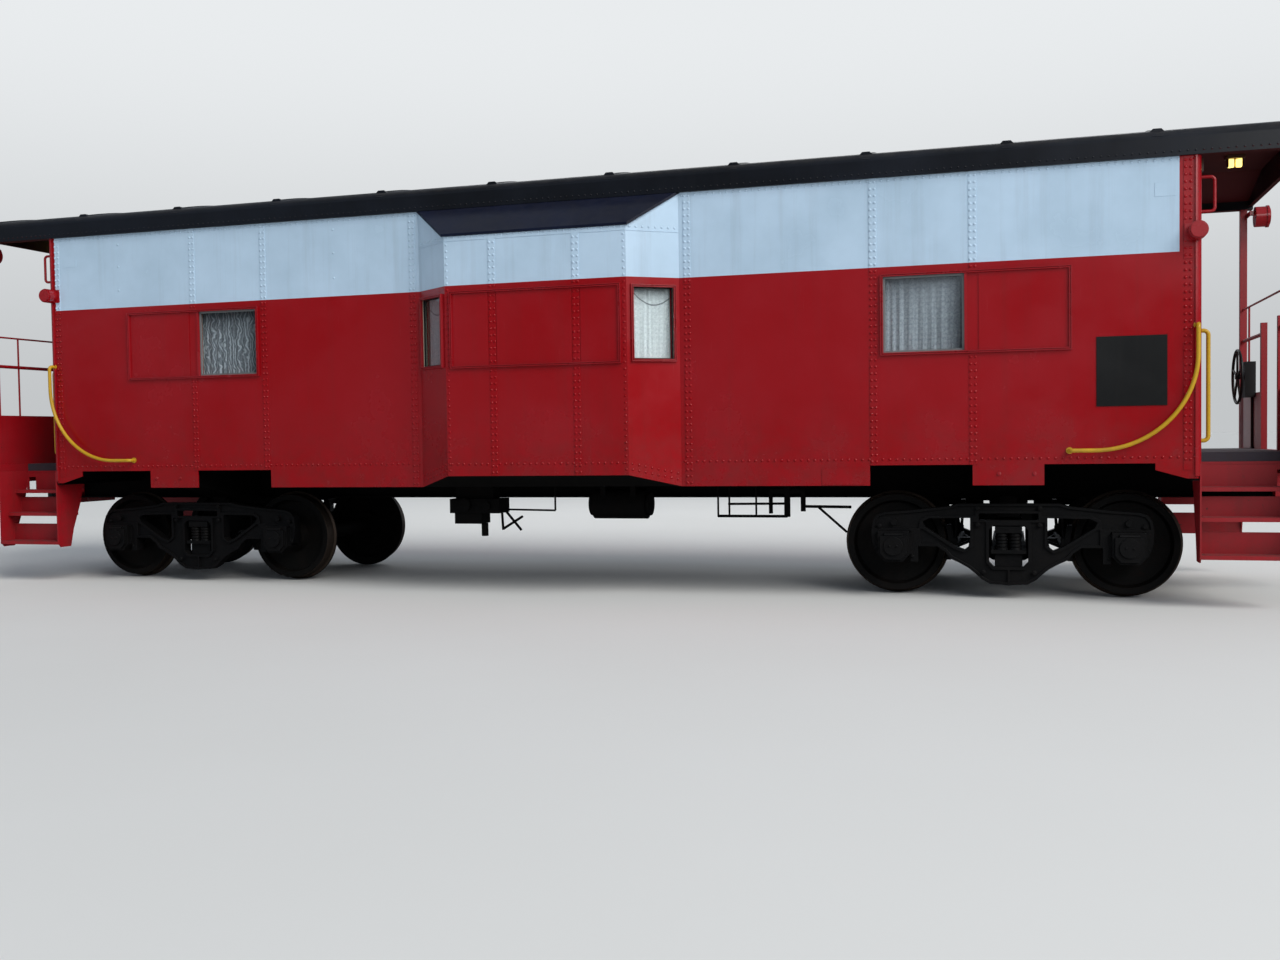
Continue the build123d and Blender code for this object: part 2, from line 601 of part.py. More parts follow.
def brake_beam():
    """One beam with its two shoes and hangers, on the +X side of the truck."""
    tread = TREAD_RADIUS + SHOE_GAP
    wheel_x = WHEELBASE / 2
    middle = -(WHEEL_BACK + RIM_WIDTH / 2)
    beam_x = wheel_x - tread - SHOE_THICKNESS
    half, z = SHOE_WIDTH / 2, BEAM_HEIGHT
    outer_radius = tread + SHOE_THICKNESS
    outer = rod((wheel_x, middle - half, AXLE_HEIGHT), (wheel_x, middle + half, AXLE_HEIGHT), outer_radius)
    inner = rod((wheel_x, middle - half - 1, AXLE_HEIGHT), (wheel_x, middle + half + 1, AXLE_HEIGHT), tread)
    shoe_low, shoe_high = AXLE_HEIGHT - SHOE_LENGTH / 2, AXLE_HEIGHT + SHOE_LENGTH / 2
    shoe = (outer - inner) & block(beam_x - 10, wheel_x, middle - half, middle + half, shoe_low, shoe_high)
    head = block(beam_x - 30, beam_x + 12, middle - 30, middle + 30, z - 40, z + 80)
    hanger = rod((beam_x - 10, middle, z + 70), (LUG_OFFSET, middle, HANGER_HEIGHT - 6), BEAM_ROD_RADIUS)
    foot_low, foot_high = LUG_OFFSET - LUG_WIDTH / 2 - 5, LUG_OFFSET + LUG_WIDTH / 2 + 5
    foot = block(foot_low, foot_high, middle - 28, middle + HANGER_FOOT_HALF, HANGER_HEIGHT - 10, HANGER_HEIGHT)
    bar_x = beam_x - BEAM_RADIUS / 2
    bar = rod((bar_x, middle + 25, z), (bar_x, -middle - 25, z), BEAM_RADIUS)
    end = shoe + head + hanger + foot
    strut_x = bar_x - TRUSS_DEPTH
    truss = rod((bar_x, middle + 60, z), (strut_x, -60, z), BEAM_ROD_RADIUS)
    lever_low, lever_high = z - LEVER_LENGTH * 0.23, z + LEVER_LENGTH * 0.77
    lever = [
        (strut_x + 30, lever_low), (strut_x - 10, lever_low),
        (strut_x - 70, lever_high), (strut_x - 30, lever_high),
    ]
    strut = block(strut_x - BEAM_ROD_RADIUS, beam_x + 10, -70, 70, z - 24, z + 24)
    strut += plate_xz(lever, -50, -30) + plate_xz(lever, 30, 50)
    strut += rod((strut_x - 47, -50, lever_high - 18), (strut_x - 47, 50, lever_high - 18), 12)
    return end + to_far(end) + bar + truss + to_far(truss) + strut


# Underframe

def centre_sill():
    """The spine of the underframe: two webs with out-turned flanges under one cover plate."""
    outer, web, low, high = SILL_HALF, SILL_WEB, SILL_BOTTOM, FLOOR_BOTTOM
    tip, inner = outer + SILL_FLANGE, outer - web
    right = [(outer, high), (outer, low + web), (tip, low + web), (tip, low), (inner, low), (inner, high - web)]
    outline = right + [(-y, z) for y, z in reversed(right)]
    return plate_yz(outline, -PLATFORM_END + END_SILL_THICKNESS, PLATFORM_END - END_SILL_THICKNESS)


def body_bolster():
    """The cross member over a truck, with its centre plate, king pin and side bearings."""
    half = BODY_BOLSTER_WIDTH / 2
    low = BODY_BOLSTER_BOTTOM
    flange = SILL_HALF + SILL_FLANGE
    wing = [
        (-flange, low), (-flange - 60, low), (-BOLSTER_KNEE_OFFSET, low + BOLSTER_KNEE_RISE),
        (-HALF_WIDTH + WALL_THICKNESS, FLOOR_BOTTOM - BOLSTER_TIP_DEPTH),
        (-HALF_WIDTH + WALL_THICKNESS, FLOOR_BOTTOM),
        (-SILL_HALF, FLOOR_BOTTOM), (-SILL_HALF, SILL_BOTTOM + SILL_WEB), (-flange, SILL_BOTTOM + SILL_WEB),
    ]
    near = plate_yz(wing, -half, half)
    centre = block(-half, half, -flange, flange, low, SILL_BOTTOM)
    plate_low = TRUCK_BOLSTER_TOP + BOWL_HEIGHT - BOWL_DEPTH + SEAT_CLEARANCE
    plate = rod((0, 0, plate_low), (0, 0, low), CENTRE_PLATE_RADIUS)
    pin = rod((0, 0, TRUCK_BOLSTER_TOP - KING_PIN_DEPTH), (0, 0, low), KING_PIN_RADIUS)
    bearing_low = TRUCK_BOLSTER_TOP + BOWL_HEIGHT + SIDE_BEARING_GAP
    bearing_y = -SIDE_BEARING_OFFSET
    bearing = block(-70, 70, bearing_y - 40, bearing_y + 40, bearing_low, low + BOLSTER_KNEE_RISE + 60)
    reach, hole_radius = half + 1, TRAIN_PIPE_RADIUS + PIPE_HOLE_CLEARANCE
    pipe_y, pipe_z = TRAIN_PIPE_OFFSET, TRAIN_PIPE_HEIGHT
    hole = rod((-reach, pipe_y, pipe_z), (reach, pipe_y, pipe_z), hole_radius)
    return near + to_far(near) + centre + plate + pin + bearing + to_far(bearing) - hole


def crossbearer(x, width):
    """A pair of I-section cross members from the centre sill to the side walls."""
    low, high = CROSSBEARER_BOTTOM, FLOOR_BOTTOM
    half, web = width / 2, CROSSBEARER_WEB / 2
    reach = (-HALF_WIDTH + SKIRT_THICKNESS, -SILL_HALF)
    near = block(x - web, x + web, *reach, low, high)
    near += block(x - half, x + half, *reach, low, low + CROSSBEARER_WEB)
    near += block(x - half, x + half, *reach, high - CROSSBEARER_WEB, high)
    return [near, to_far(near)]


def end_sill():
    """The buffer beam across the end of a platform, with the striker round the coupler."""
    x_low, x_high = PLATFORM_END - END_SILL_THICKNESS, PLATFORM_END
    beam = block(x_low, x_high, -HALF_WIDTH, HALF_WIDTH, END_SILL_BOTTOM, FLOOR_HEIGHT)
    striker = block(x_low, x_high, -STRIKER_HALF, STRIKER_HALF, STRIKER_BOTTOM, END_SILL_BOTTOM)
    opening_half = SHANK_WIDTH / 2 + 22
    low, high = COUPLER_HEIGHT - SHANK_HEIGHT / 2, COUPLER_HEIGHT + SHANK_HEIGHT / 2 + 22
    opening = block(x_low - 1, x_high + 1, -opening_half, opening_half, low, high)
    return beam + striker - opening


def coupler():
    """A knuckle coupler with its shank and the draft gear that holds it in the sill."""
    face = PLATFORM_END + COUPLER_REACH
    z, back = COUPLER_HEIGHT, PLATFORM_END - SHANK_LENGTH
    half, deep = SHANK_WIDTH / 2, SHANK_HEIGHT / 2
    shank = block(back, face - 250, -half, half, z - deep, z + deep)
    pocket = SILL_HALF - SILL_WEB
    gear = block(back, back + DRAFT_GEAR_LENGTH, -pocket, pocket, z - deep - 10, z + deep + 10)
    head = plate_xy([(face + x, y) for x, y in HEAD_OUTLINE], z - HEAD_HEIGHT / 2, z + HEAD_HEIGHT / 2)
    half_knuckle = KNUCKLE_HEIGHT / 2
    knuckle = plate_xy([(face + x, y) for x, y in KNUCKLE_OUTLINE], z - half_knuckle, z + half_knuckle)
    pin_x, pin_y = face + KNUCKLE_PIN[0], KNUCKLE_PIN[1]
    pin_low, pin_high = z - HEAD_HEIGHT / 2 - 20, z + HEAD_HEIGHT / 2 + 26
    pin = rod((pin_x, pin_y, pin_low), (pin_x, pin_y, pin_high), KNUCKLE_PIN_RADIUS)
    horn = block(face - 285, face - 235, -half - 45, half + 45, z - deep, z + HEAD_HEIGHT / 2 + 20)
    return shank + gear + head + knuckle + pin + horn


def cut_lever():
    """The bar on the end-B sill that lifts the coupler's lock, with its handle at the near corner."""
    x, z = PLATFORM_END + CUT_LEVER_STANDOFF, CUT_LEVER_HEIGHT
    radius = CUT_LEVER_RADIUS
    outer = -HALF_WIDTH + CUT_LEVER_INSET
    drop = z - CUT_LEVER_DROP
    bar = bent_bar([(x, outer, drop), (x, outer, z), (x, -70, z), (x + 120, -70, z)], 4 * radius, radius)
    for y in (outer + 160, -STRIKER_HALF + 30):
        bar += block(PLATFORM_END, x + radius + 6, y - 15, y + 15, z - radius - 6, z + radius + 6)
    return bar


# Body shell

def skirt_outline():
    """The near wall's lower edge from the bay to the body's end, as points in X and Z."""
    cut_in = HALF_TRUCKS - SKIRT_CUT_HALF
    cut_out = HALF_TRUCKS + SKIRT_CUT_HALF
    tab_in = HALF_TRUCKS - SKIRT_TAB_HALF
    tab_out = HALF_TRUCKS + SKIRT_TAB_HALF
    return [
        (cut_in, SKIRT_BOTTOM_HEIGHT), (cut_in, FLOOR_BOTTOM),
        (tab_in, FLOOR_BOTTOM), (tab_in, SKIRT_BOTTOM_HEIGHT),
        (tab_out, SKIRT_BOTTOM_HEIGHT), (tab_out, FLOOR_BOTTOM),
        (cut_out, FLOOR_BOTTOM), (cut_out, SKIRT_END_STEP_HEIGHT),
        (HALF_LENGTH - SKIRT_END_WIDTH, SKIRT_END_BOTTOM_HEIGHT), (HALF_LENGTH, SKIRT_END_BOTTOM_HEIGHT),
    ]


def side_wall(padded):
    """The near side wall from the bay to the end of the body, with its skirt, window and seams."""
    inner, outer = -HALF_WIDTH + WALL_THICKNESS, -HALF_WIDTH
    wall = block(BAY_INNER_WALL, HALF_LENGTH, outer, inner, FLOOR_BOTTOM, EAVE_HEIGHT)
    if padded:
        pad = (PAD_START_OFFSET, PAD_END_OFFSET)
        wall += block(*pad, outer - SEAM_THICKNESS, outer, PAD_BOTTOM_HEIGHT, PAD_TOP_HEIGHT)
    skirt_top = FLOOR_BOTTOM + 10
    skirt_points = [(BAY_WALL_HALF, skirt_top), (BAY_WALL_HALF, SKIRT_BOTTOM_HEIGHT)] + skirt_outline()
    wall += plate_xz(skirt_points + [(HALF_LENGTH, skirt_top)], outer, outer + SKIRT_THICKNESS)
    window_x = (SIDE_WINDOW_INNER, SIDE_WINDOW_INNER + SIDE_WINDOW_WIDTH)
    wall -= block(*window_x, outer - 1, inner + 1, *WINDOW_SPAN)
    for x in SEAM_PLACES:
        below = FLOOR_BOTTOM
        if x < HALF_TRUCKS - SKIRT_CUT_HALF:
            below = SKIRT_BOTTOM_HEIGHT
        elif x > HALF_TRUCKS + SKIRT_CUT_HALF:
            below = SKIRT_END_STEP_HEIGHT
        spans = ((below, WINDOW_BOTTOM_HEIGHT - TRIM_WIDTH), (WINDOW_TOP_HEIGHT + TRIM_WIDTH, EAVE_HEIGHT))
        for low, high in spans:
            wall += block(x - SEAM_WIDTH / 2, x + SEAM_WIDTH / 2, outer - SEAM_THICKNESS, outer, low, high)
    edge_x, edge_y = HALF_LENGTH - CORNER_RADIUS, outer + CORNER_RADIUS
    corner = block(edge_x, HALF_LENGTH + 1, outer - 1, edge_y, SKIRT_BOTTOM_HEIGHT, EAVE_HEIGHT + 1)
    corner -= rod((edge_x, edge_y, SKIRT_BOTTOM_HEIGHT - 1), (edge_x, edge_y, EAVE_HEIGHT + 2), CORNER_RADIUS)
    return wall - corner


def bay_region():
    """Everything between the bay's sloping underside and its sloping top."""
    points = [
        (-HALF_WIDTH, SKIRT_BOTTOM_HEIGHT), (-BAY_FACE, BAY_BOTTOM_HEIGHT),
        (-BAY_FACE, BAY_TOP_HEIGHT), (-HALF_WIDTH, EAVE_HEIGHT),
    ]
    return plate_yz(points, -BAY_WALL_HALF - 50, BAY_WALL_HALF + 50)


def bay_plan(grow=0.0):
    """The bay's outline seen from above, moved outwards by a lip."""
    return [
        (BAY_WALL_HALF + grow, -HALF_WIDTH), (BAY_FRONT_HALF + grow, -BAY_FACE - grow),
        (-BAY_FRONT_HALF - grow, -BAY_FACE - grow), (-BAY_WALL_HALF - grow, -HALF_WIDTH),
    ]


def bay_inner_plan():
    """The inside of the bay seen from above."""
    face = -BAY_FACE + BAY_THICKNESS
    return [
        (BAY_INNER_WALL, -HALF_WIDTH), (BAY_INNER_FRONT, face),
        (-BAY_INNER_FRONT, face), (-BAY_INNER_WALL, -HALF_WIDTH),
    ]


def canted(solid):
    """A piece modelled flat and facing -Y, laid on the bay's +X canted wall."""
    middle = ((BAY_WALL_HALF + BAY_FRONT_HALF) / 2, -(HALF_WIDTH + BAY_FACE) / 2, 0)
    return Pos(*middle) * Rot(0, 0, degrees(atan2(BAY_DEPTH, BAY_WALL_HALF - BAY_FRONT_HALF))) * solid


def bay_window_half():
    """Half the width of the glass in a canted wall."""
    return BAY_RUN / 2 - BAY_WINDOW_MARGIN_WIDTH


def bay_shell():
    """The near bay's three walls and its underside, with a window in each canted wall."""
    solid_bay = plate_xy(bay_plan(), SKIRT_BOTTOM_HEIGHT - 1, EAVE_HEIGHT + 1)
    ring = solid_bay - plate_xy(bay_inner_plan(), SKIRT_BOTTOM_HEIGHT - 2, EAVE_HEIGHT + 2)
    shell = ring & bay_region()
    low, thick = SKIRT_BOTTOM_HEIGHT, BAY_UNDERSIDE_THICKNESS
    bottom_points = [
        (-HALF_WIDTH, low), (-BAY_FACE, BAY_BOTTOM_HEIGHT),
        (-BAY_FACE, BAY_BOTTOM_HEIGHT + thick), (-HALF_WIDTH, low + thick),
    ]
    underside = plate_yz(bottom_points, -BAY_WALL_HALF, BAY_WALL_HALF)
    underside &= plate_xy(bay_plan(), SKIRT_BOTTOM_HEIGHT - 1, EAVE_HEIGHT)
    shell += underside
    half = bay_window_half()
    opening = canted(block(-half, half, -10, BAY_THICKNESS + 10, *BAY_WINDOW_SPAN))
    return shell - opening - mirror(opening, Plane.YZ)


def bay_roof():
    """The sloping plate from the eave down to the top of the near bay."""
    slope = (EAVE_HEIGHT - BAY_TOP_HEIGHT) / BAY_DEPTH
    edge = BAY_FACE + BAY_ROOF_LIP
    edge_z = BAY_TOP_HEIGHT - BAY_ROOF_LIP * slope
    thick = BAY_ROOF_THICKNESS
    points = [
        (-HALF_WIDTH, EAVE_HEIGHT), (-edge, edge_z),
        (-edge, edge_z + thick), (-HALF_WIDTH - thick / slope, EAVE_HEIGHT),
    ]
    sheet = plate_yz(points, -BAY_WALL_HALF - 60, BAY_WALL_HALF + 60)
    return sheet & plate_xy(bay_plan(BAY_ROOF_LIP), BAY_TOP_HEIGHT - 60, EAVE_HEIGHT + 60)


def floor():
    """The body floor, with a ledge into each bay."""
    inner = HALF_WIDTH - WALL_THICKNESS
    end = HALF_LENGTH - WALL_THICKNESS
    slab = block(-end, end, -inner, inner, FLOOR_BOTTOM, FLOOR_HEIGHT)
    ledge_points = bay_inner_plan() + [(-BAY_INNER_WALL, -inner), (BAY_INNER_WALL, -inner)]
    ledge = plate_xy(ledge_points, FLOOR_HEIGHT - BAY_FLOOR_THICKNESS, FLOOR_HEIGHT)
    return slab + ledge + to_far(ledge)


def ceiling_outline(bottom):
    """The end outline of the room under the roof, down to a height."""
    inner = HALF_WIDTH - WALL_THICKNESS
    right = [(inner, bottom), (inner, CEILING_EAVE), (CEILING_HALF, CEILING_HEIGHT)]
    return right + [(-y, z) for y, z in reversed(right)]


def roof():
    """The arched roof over the body and both platforms, with its fascias and end headers."""
    edge = HALF_WIDTH + EAVE_LIP
    fascia_top = EAVE_HEIGHT + FASCIA_HEIGHT
    shoulder = (edge - SHOULDER_IN, fascia_top + SHOULDER_UP)
    bend = (edge - SHOULDER_IN * 0.32, fascia_top + SHOULDER_UP * 0.66)
    lines = Polyline((0, -edge, EAVE_HEIGHT), (0, edge, EAVE_HEIGHT), (0, edge, fascia_top))
    lines += ThreePointArc((0, edge, fascia_top), (0, bend[0], bend[1]), (0, shoulder[0], shoulder[1]))
    lines += ThreePointArc((0, shoulder[0], shoulder[1]), (0, 0, CROWN), (0, -shoulder[0], shoulder[1]))
    lines += ThreePointArc((0, -shoulder[0], shoulder[1]), (0, -bend[0], bend[1]), (0, -edge, fascia_top))
    lines += Line((0, -edge, fascia_top), (0, -edge, EAVE_HEIGHT))
    outer = Pos(-ROOF_HALF, 0, 0) * extrude(make_face(lines), 2 * ROOF_HALF, dir=(1, 0, 0))
    room = plate_yz(ceiling_outline(EAVE_HEIGHT - 1), -ROOF_HALF - 1, ROOF_HALF + 1)
    shell = outer - room
    header = plate_yz(ceiling_outline(HEADER_BOTTOM), ROOF_HALF - HEADER_THICKNESS, ROOF_HALF)
    return shell + header + to_end_a(header)


def end_wall():
    """The end wall at end B, with its doorway, door stop and hinge pins."""
    x_low, x_high = HALF_LENGTH - WALL_THICKNESS, HALF_LENGTH
    wall = plate_yz(ceiling_outline(FLOOR_BOTTOM), x_low, x_high)
    half = DOOR_OPENING_WIDTH / 2
    wall -= block(x_low - 1, x_high - DOOR_STOP_DEPTH, -half, half, FLOOR_HEIGHT, DOOR_TOP)
    lip = half - DOOR_STOP_WIDTH
    wall -= block(x_high - DOOR_STOP_DEPTH - 1, x_high + 1, -lip, lip, FLOOR_HEIGHT, DOOR_TOP - DOOR_STOP_WIDTH)
    axis_x = x_low - HINGE_OFFSET
    reach = HINGE_KNUCKLE_HEIGHT / 2 + 1
    for share in HINGE_PLACES:
        z = FLOOR_HEIGHT + DOOR_HEIGHT * share
        arm = HINGE_ARM_THICKNESS
        wall += rod((axis_x, -half, z - reach - arm), (axis_x, -half, z + reach + arm), HINGE_PIN_RADIUS)
        for low in (z - reach - arm, z + reach):
            wall += block(axis_x - HINGE_ARM_RADIUS, x_low, -half - HINGE_LEAF_LENGTH, -half, low, low + arm)
            wall += rod((axis_x, -half, low), (axis_x, -half, low + arm), HINGE_ARM_RADIUS)
    return wall


def door():
    """The end door at end B, closed, with its knuckles and knobs."""
    x_low = HALF_LENGTH - WALL_THICKNESS
    half = DOOR_OPENING_WIDTH / 2
    z_low, z_high = FLOOR_HEIGHT + DOOR_GAP_WIDTH, DOOR_TOP - DOOR_GAP_WIDTH
    x_high = x_low + DOOR_THICKNESS
    panel = block(x_low, x_high, -half + DOOR_GAP_WIDTH, half - DOOR_GAP_WIDTH, z_low, z_high)
    glass_low, glass_half = FLOOR_HEIGHT + DOOR_WINDOW_RISE_HEIGHT, DOOR_WINDOW_WIDTH / 2
    panel -= block(x_low - 1, x_high + 1, -glass_half, glass_half, glass_low, glass_low + DOOR_WINDOW_HEIGHT)
    axis_x = x_low - HINGE_OFFSET
    reach = HINGE_KNUCKLE_HEIGHT / 2
    for share in HINGE_PLACES:
        z = FLOOR_HEIGHT + DOOR_HEIGHT * share
        leaf = block(axis_x, x_low, -half + DOOR_GAP_WIDTH, -half + HINGE_LEAF_LENGTH, z - reach, z + reach)
        leaf += block(axis_x, axis_x + 6, -half, -half + HINGE_LEAF_LENGTH, z - reach, z + reach)
        leaf += rod((axis_x, -half, z - reach), (axis_x, -half, z + reach), HINGE_KNUCKLE_RADIUS)
        bore = HINGE_PIN_RADIUS + RUNNING_CLEARANCE
        leaf -= rod((axis_x, -half, z - reach - 1), (axis_x, -half, z + reach + 1), bore)
        panel += leaf
    knob_y, knob_z = half - KNOB_INSET, FLOOR_HEIGHT + KNOB_HEIGHT
    near, far = x_low - KNOB_REACH, x_high + KNOB_REACH
    panel += rod((near, knob_y, knob_z), (far, knob_y, knob_z), KNOB_RADIUS * 0.4)
    panel += rod((near, knob_y, knob_z), (near + KNOB_RADIUS, knob_y, knob_z), KNOB_RADIUS)
    panel += rod((far - KNOB_RADIUS, knob_y, knob_z), (far, knob_y, knob_z), KNOB_RADIUS)
    return panel


def door_glass():
    """The pane in the end-B door."""
    inner_face = HALF_LENGTH - WALL_THICKNESS + DOOR_THICKNESS / 2 - GLASS_THICKNESS / 2
    low = FLOOR_HEIGHT + DOOR_WINDOW_RISE_HEIGHT
    half = DOOR_WINDOW_WIDTH / 2
    return block(inner_face, inner_face + GLASS_THICKNESS, -half, half, low, low + DOOR_WINDOW_HEIGHT)


# Windows

def frame_round(x_low, x_high, z_low, z_high, y_back, proud, width):
    """A raised rectangular frame on a face that looks to -Y."""
    outer = block(x_low - width, x_high + width, y_back - proud, y_back, z_low - width, z_high + width)
    return outer - block(x_low, x_high, y_back - proud - 1, y_back + 1, z_low, z_high)


def window_trim():
    """The near side's window frames: one round the glass and plate, one on the bay's front."""
    pieces = []
    x_low, x_high = SIDE_WINDOW_INNER, SIDE_PLATE_INNER + SIDE_PLATE_WIDTH
    side = frame_round(x_low, x_high, *WINDOW_SPAN, -HALF_WIDTH, TRIM_THICKNESS, TRIM_WIDTH)
    glass_edge = SIDE_WINDOW_INNER + SIDE_WINDOW_WIDTH
    proud = (-HALF_WIDTH - TRIM_THICKNESS, -HALF_WIDTH)
    side += block(glass_edge, glass_edge + TRIM_WIDTH, *proud, *WINDOW_SPAN)
    pieces += [side, mirror(side, Plane.YZ)]
    half = BAY_PLATE_EDGES[2][1]
    pieces.append(frame_round(-half, half, *BAY_PLATE_SPAN, -BAY_FACE, TRIM_THICKNESS, TRIM_WIDTH))
    glass_half = bay_window_half()
    ring = frame_round(-glass_half, glass_half, *BAY_WINDOW_SPAN, 0, TRIM_THICKNESS, TRIM_WIDTH)
    cant = canted(ring)
    pieces += [cant, mirror(cant, Plane.YZ)]
    return pieces


def window_plates():
    """The plates that close the old window openings on the near side."""
    pieces = []
    x_low, face = SIDE_PLATE_INNER, -HALF_WIDTH
    side = block(x_low, x_low + SIDE_PLATE_WIDTH, face - PLATE_THICKNESS, face, *WINDOW_SPAN)
    pieces += [side, mirror(side, Plane.YZ)]
    for low, high in BAY_PLATE_EDGES:
        pieces.append(block(low, high, -BAY_FACE - PLATE_THICKNESS, -BAY_FACE, *BAY_PLATE_SPAN))
    return pieces


def window_glass():
    """The near side's four panes."""
    x_low, y = SIDE_WINDOW_INNER, -HALF_WIDTH + WALL_THICKNESS / 2
    half_pane = GLASS_THICKNESS / 2
    side = block(x_low, x_low + SIDE_WINDOW_WIDTH, y - half_pane, y + half_pane, *WINDOW_SPAN)
    half = bay_window_half()
    middle = BAY_THICKNESS / 2
    cant = canted(block(-half, half, middle - half_pane, middle + half_pane, *BAY_WINDOW_SPAN))
    return [side, mirror(side, Plane.YZ), cant, mirror(cant, Plane.YZ)]


def curtain(half, z_low, z_high):
    """A flat curtain hanging from its rod, inside a wall whose inner face is at Y 0."""
    return block(-half, half, CURTAIN_GAP, CURTAIN_GAP + CURTAIN_THICKNESS, z_low, z_high - CURTAIN_ROD_RADIUS)


def curtain_rod(half, z_high):
    """The rod that carries a curtain, with a bracket at each end on the wall."""
    y = CURTAIN_GAP + CURTAIN_THICKNESS / 2
    bar = rod((-half, y, z_high), (half, y, z_high), CURTAIN_ROD_RADIUS)
    for x in (-half + CURTAIN_ROD_INSET, half - CURTAIN_ROD_INSET):
        bar += block(x - 3, x + 3, 0, y + CURTAIN_ROD_RADIUS, z_high, z_high + CURTAIN_ROD_BRACKET)
    return bar


def curtain_places():
    """Each near-side curtain's half width, top and the place where its wall's inner face lies."""
    side_middle = SIDE_WINDOW_INNER + SIDE_WINDOW_WIDTH / 2
    side = Pos(side_middle, -HALF_WIDTH + WALL_THICKNESS, 0)
    low, high = WINDOW_SPAN
    yield SIDE_WINDOW_WIDTH / 2 + 20, low - CURTAIN_MARGIN, high + CURTAIN_MARGIN, lambda solid: side * solid
    inside = Pos(0, BAY_THICKNESS, 0)
    low, high = BAY_WINDOW_SPAN
    half = bay_window_half() - 5
    yield half, low - CURTAIN_MARGIN, high + CURTAIN_MARGIN, lambda solid: canted(inside * solid)


# Platforms

def platform():
    """The end-B platform deck between the step wells."""
    end = PLATFORM_END - END_SILL_THICKNESS
    return block(HALF_LENGTH, end, -DECK_HALF, DECK_HALF, FLOOR_BOTTOM, FLOOR_HEIGHT)


def steps():
    """The near flight of steps at end B: two stringers with their treads and risers."""
    edge = -HALF_WIDTH
    profile = [(edge + y, z) for y, z in STRINGER_PROFILE]
    inner = HALF_LENGTH
    outer = PLATFORM_END - END_SILL_THICKNESS
    flight = plate_yz(profile, inner, inner + STRINGER_THICKNESS)
    flight += plate_yz(profile, outer - STRINGER_THICKNESS, outer)
    for z, front, back, riser in STEP_TREADS:
        flight += block(inner, outer, edge + front, edge + back, z, z + TREAD_THICKNESS)
        riser_y = (edge + back - RISER_THICKNESS, edge + back)
        flight += block(inner, outer, *riser_y, z, z + TREAD_THICKNESS + riser)
    well = edge + STEP_WELL_DEPTH
    flight += block(inner, outer, well - RISER_THICKNESS, well, FLOOR_BOTTOM - 30, FLOOR_BOTTOM)
    top_z, _, top_back, top_riser = STEP_TREADS[-1]
    slot_x = outer - STRINGER_THICKNESS - RISER_SLOT_INSET
    front, back = edge + top_back - RISER_THICKNESS - 1, edge + top_back + 1
    slot_low, slot_high = top_z + TREAD_THICKNESS, top_z + top_riser - 8
    return flight - block(slot_x - RISER_SLOT_WIDTH, slot_x, front, back, slot_low, slot_high)


def railing():
    """The end-B railing: corner posts to the roof, gate posts, rails and solid lower panels."""
    x_middle = PLATFORM_END - END_SILL_THICKNESS / 2
    half_post, half_gate = CORNER_POST / 2, GATE_POST / 2
    corner_y = -HALF_WIDTH + half_post
    gate_y = -GATE_HALF - half_gate
    post = (x_middle - half_post, x_middle + half_post, corner_y - half_post, corner_y + half_post)
    near = block(*post, FLOOR_HEIGHT, EAVE_HEIGHT)
    gate_low, gate_high = gate_y - half_gate, gate_y + half_gate
    near += block(x_middle - half_gate, x_middle + half_gate, gate_low, gate_high, FLOOR_HEIGHT, GATE_POST_TOP)
    half_plate = BULWARK_THICKNESS / 2
    near += block(x_middle - half_plate, x_middle + half_plate, corner_y, gate_y, FLOOR_HEIGHT, BULWARK_TOP)
    near += rod((x_middle, corner_y, RAIL_HEIGHT), (x_middle, gate_y, RAIL_HEIGHT), RAIL_RADIUS)
    bar_y = corner_y + RAIL_BAR_INSET
    near += rod((x_middle, bar_y, BULWARK_TOP), (x_middle, bar_y, UPPER_RAIL_HEIGHT), UPPER_RAIL_RADIUS)
    height = UPPER_RAIL_HEIGHT
    upper = rod((x_middle, corner_y, height), (x_middle, -corner_y, height), UPPER_RAIL_RADIUS)
    return near + to_far(near) + upper


def hand_brake():
    """The hand brake at end B: a housing on the railing, its wheel and the chain pipe."""
    x = PLATFORM_END - END_SILL_THICKNESS / 2 - BULWARK_THICKNESS / 2
    y, z = HAND_BRAKE_OFFSET, HAND_BRAKE_HEIGHT
    deep, low = HAND_BRAKE_DEPTH, HAND_BRAKE_HEIGHT - HAND_BRAKE_DROP
    half = HAND_BRAKE_WIDTH / 2
    housing = block(x - deep, x, y - half, y + half, low, z + 0.6 * HAND_BRAKE_WIDTH)
    pipe_x = x - CHAIN_PIPE_RADIUS
    pipe = rod((pipe_x, y, FLOOR_HEIGHT), (pipe_x, y, low), CHAIN_PIPE_RADIUS)
    foot = block(x - 2 * CHAIN_PIPE_RADIUS, x, y - 45, y + 45, FLOOR_HEIGHT, FLOOR_HEIGHT + 14)
    wheel_x = x - deep - HAND_BRAKE_DEPTH / 2
    hub = rod((x - deep, y, z), (wheel_x - 18, y, z), 24)
    rim = Plane(origin=(wheel_x, y, z), z_dir=(1, 0, 0)) * Torus(HAND_WHEEL_RADIUS, 13)
    wheel = hub + rim
    spoke = rod((wheel_x, y, z + 14), (wheel_x, y, z + HAND_WHEEL_RADIUS - 4), 10)
    for turn in range(5):
        wheel += Pos(0, y, z) * Rot(72 * turn, 0, 0) * Pos(0, -y, -z) * spoke
    return housing + pipe + foot + wheel


# Handholds and lamps

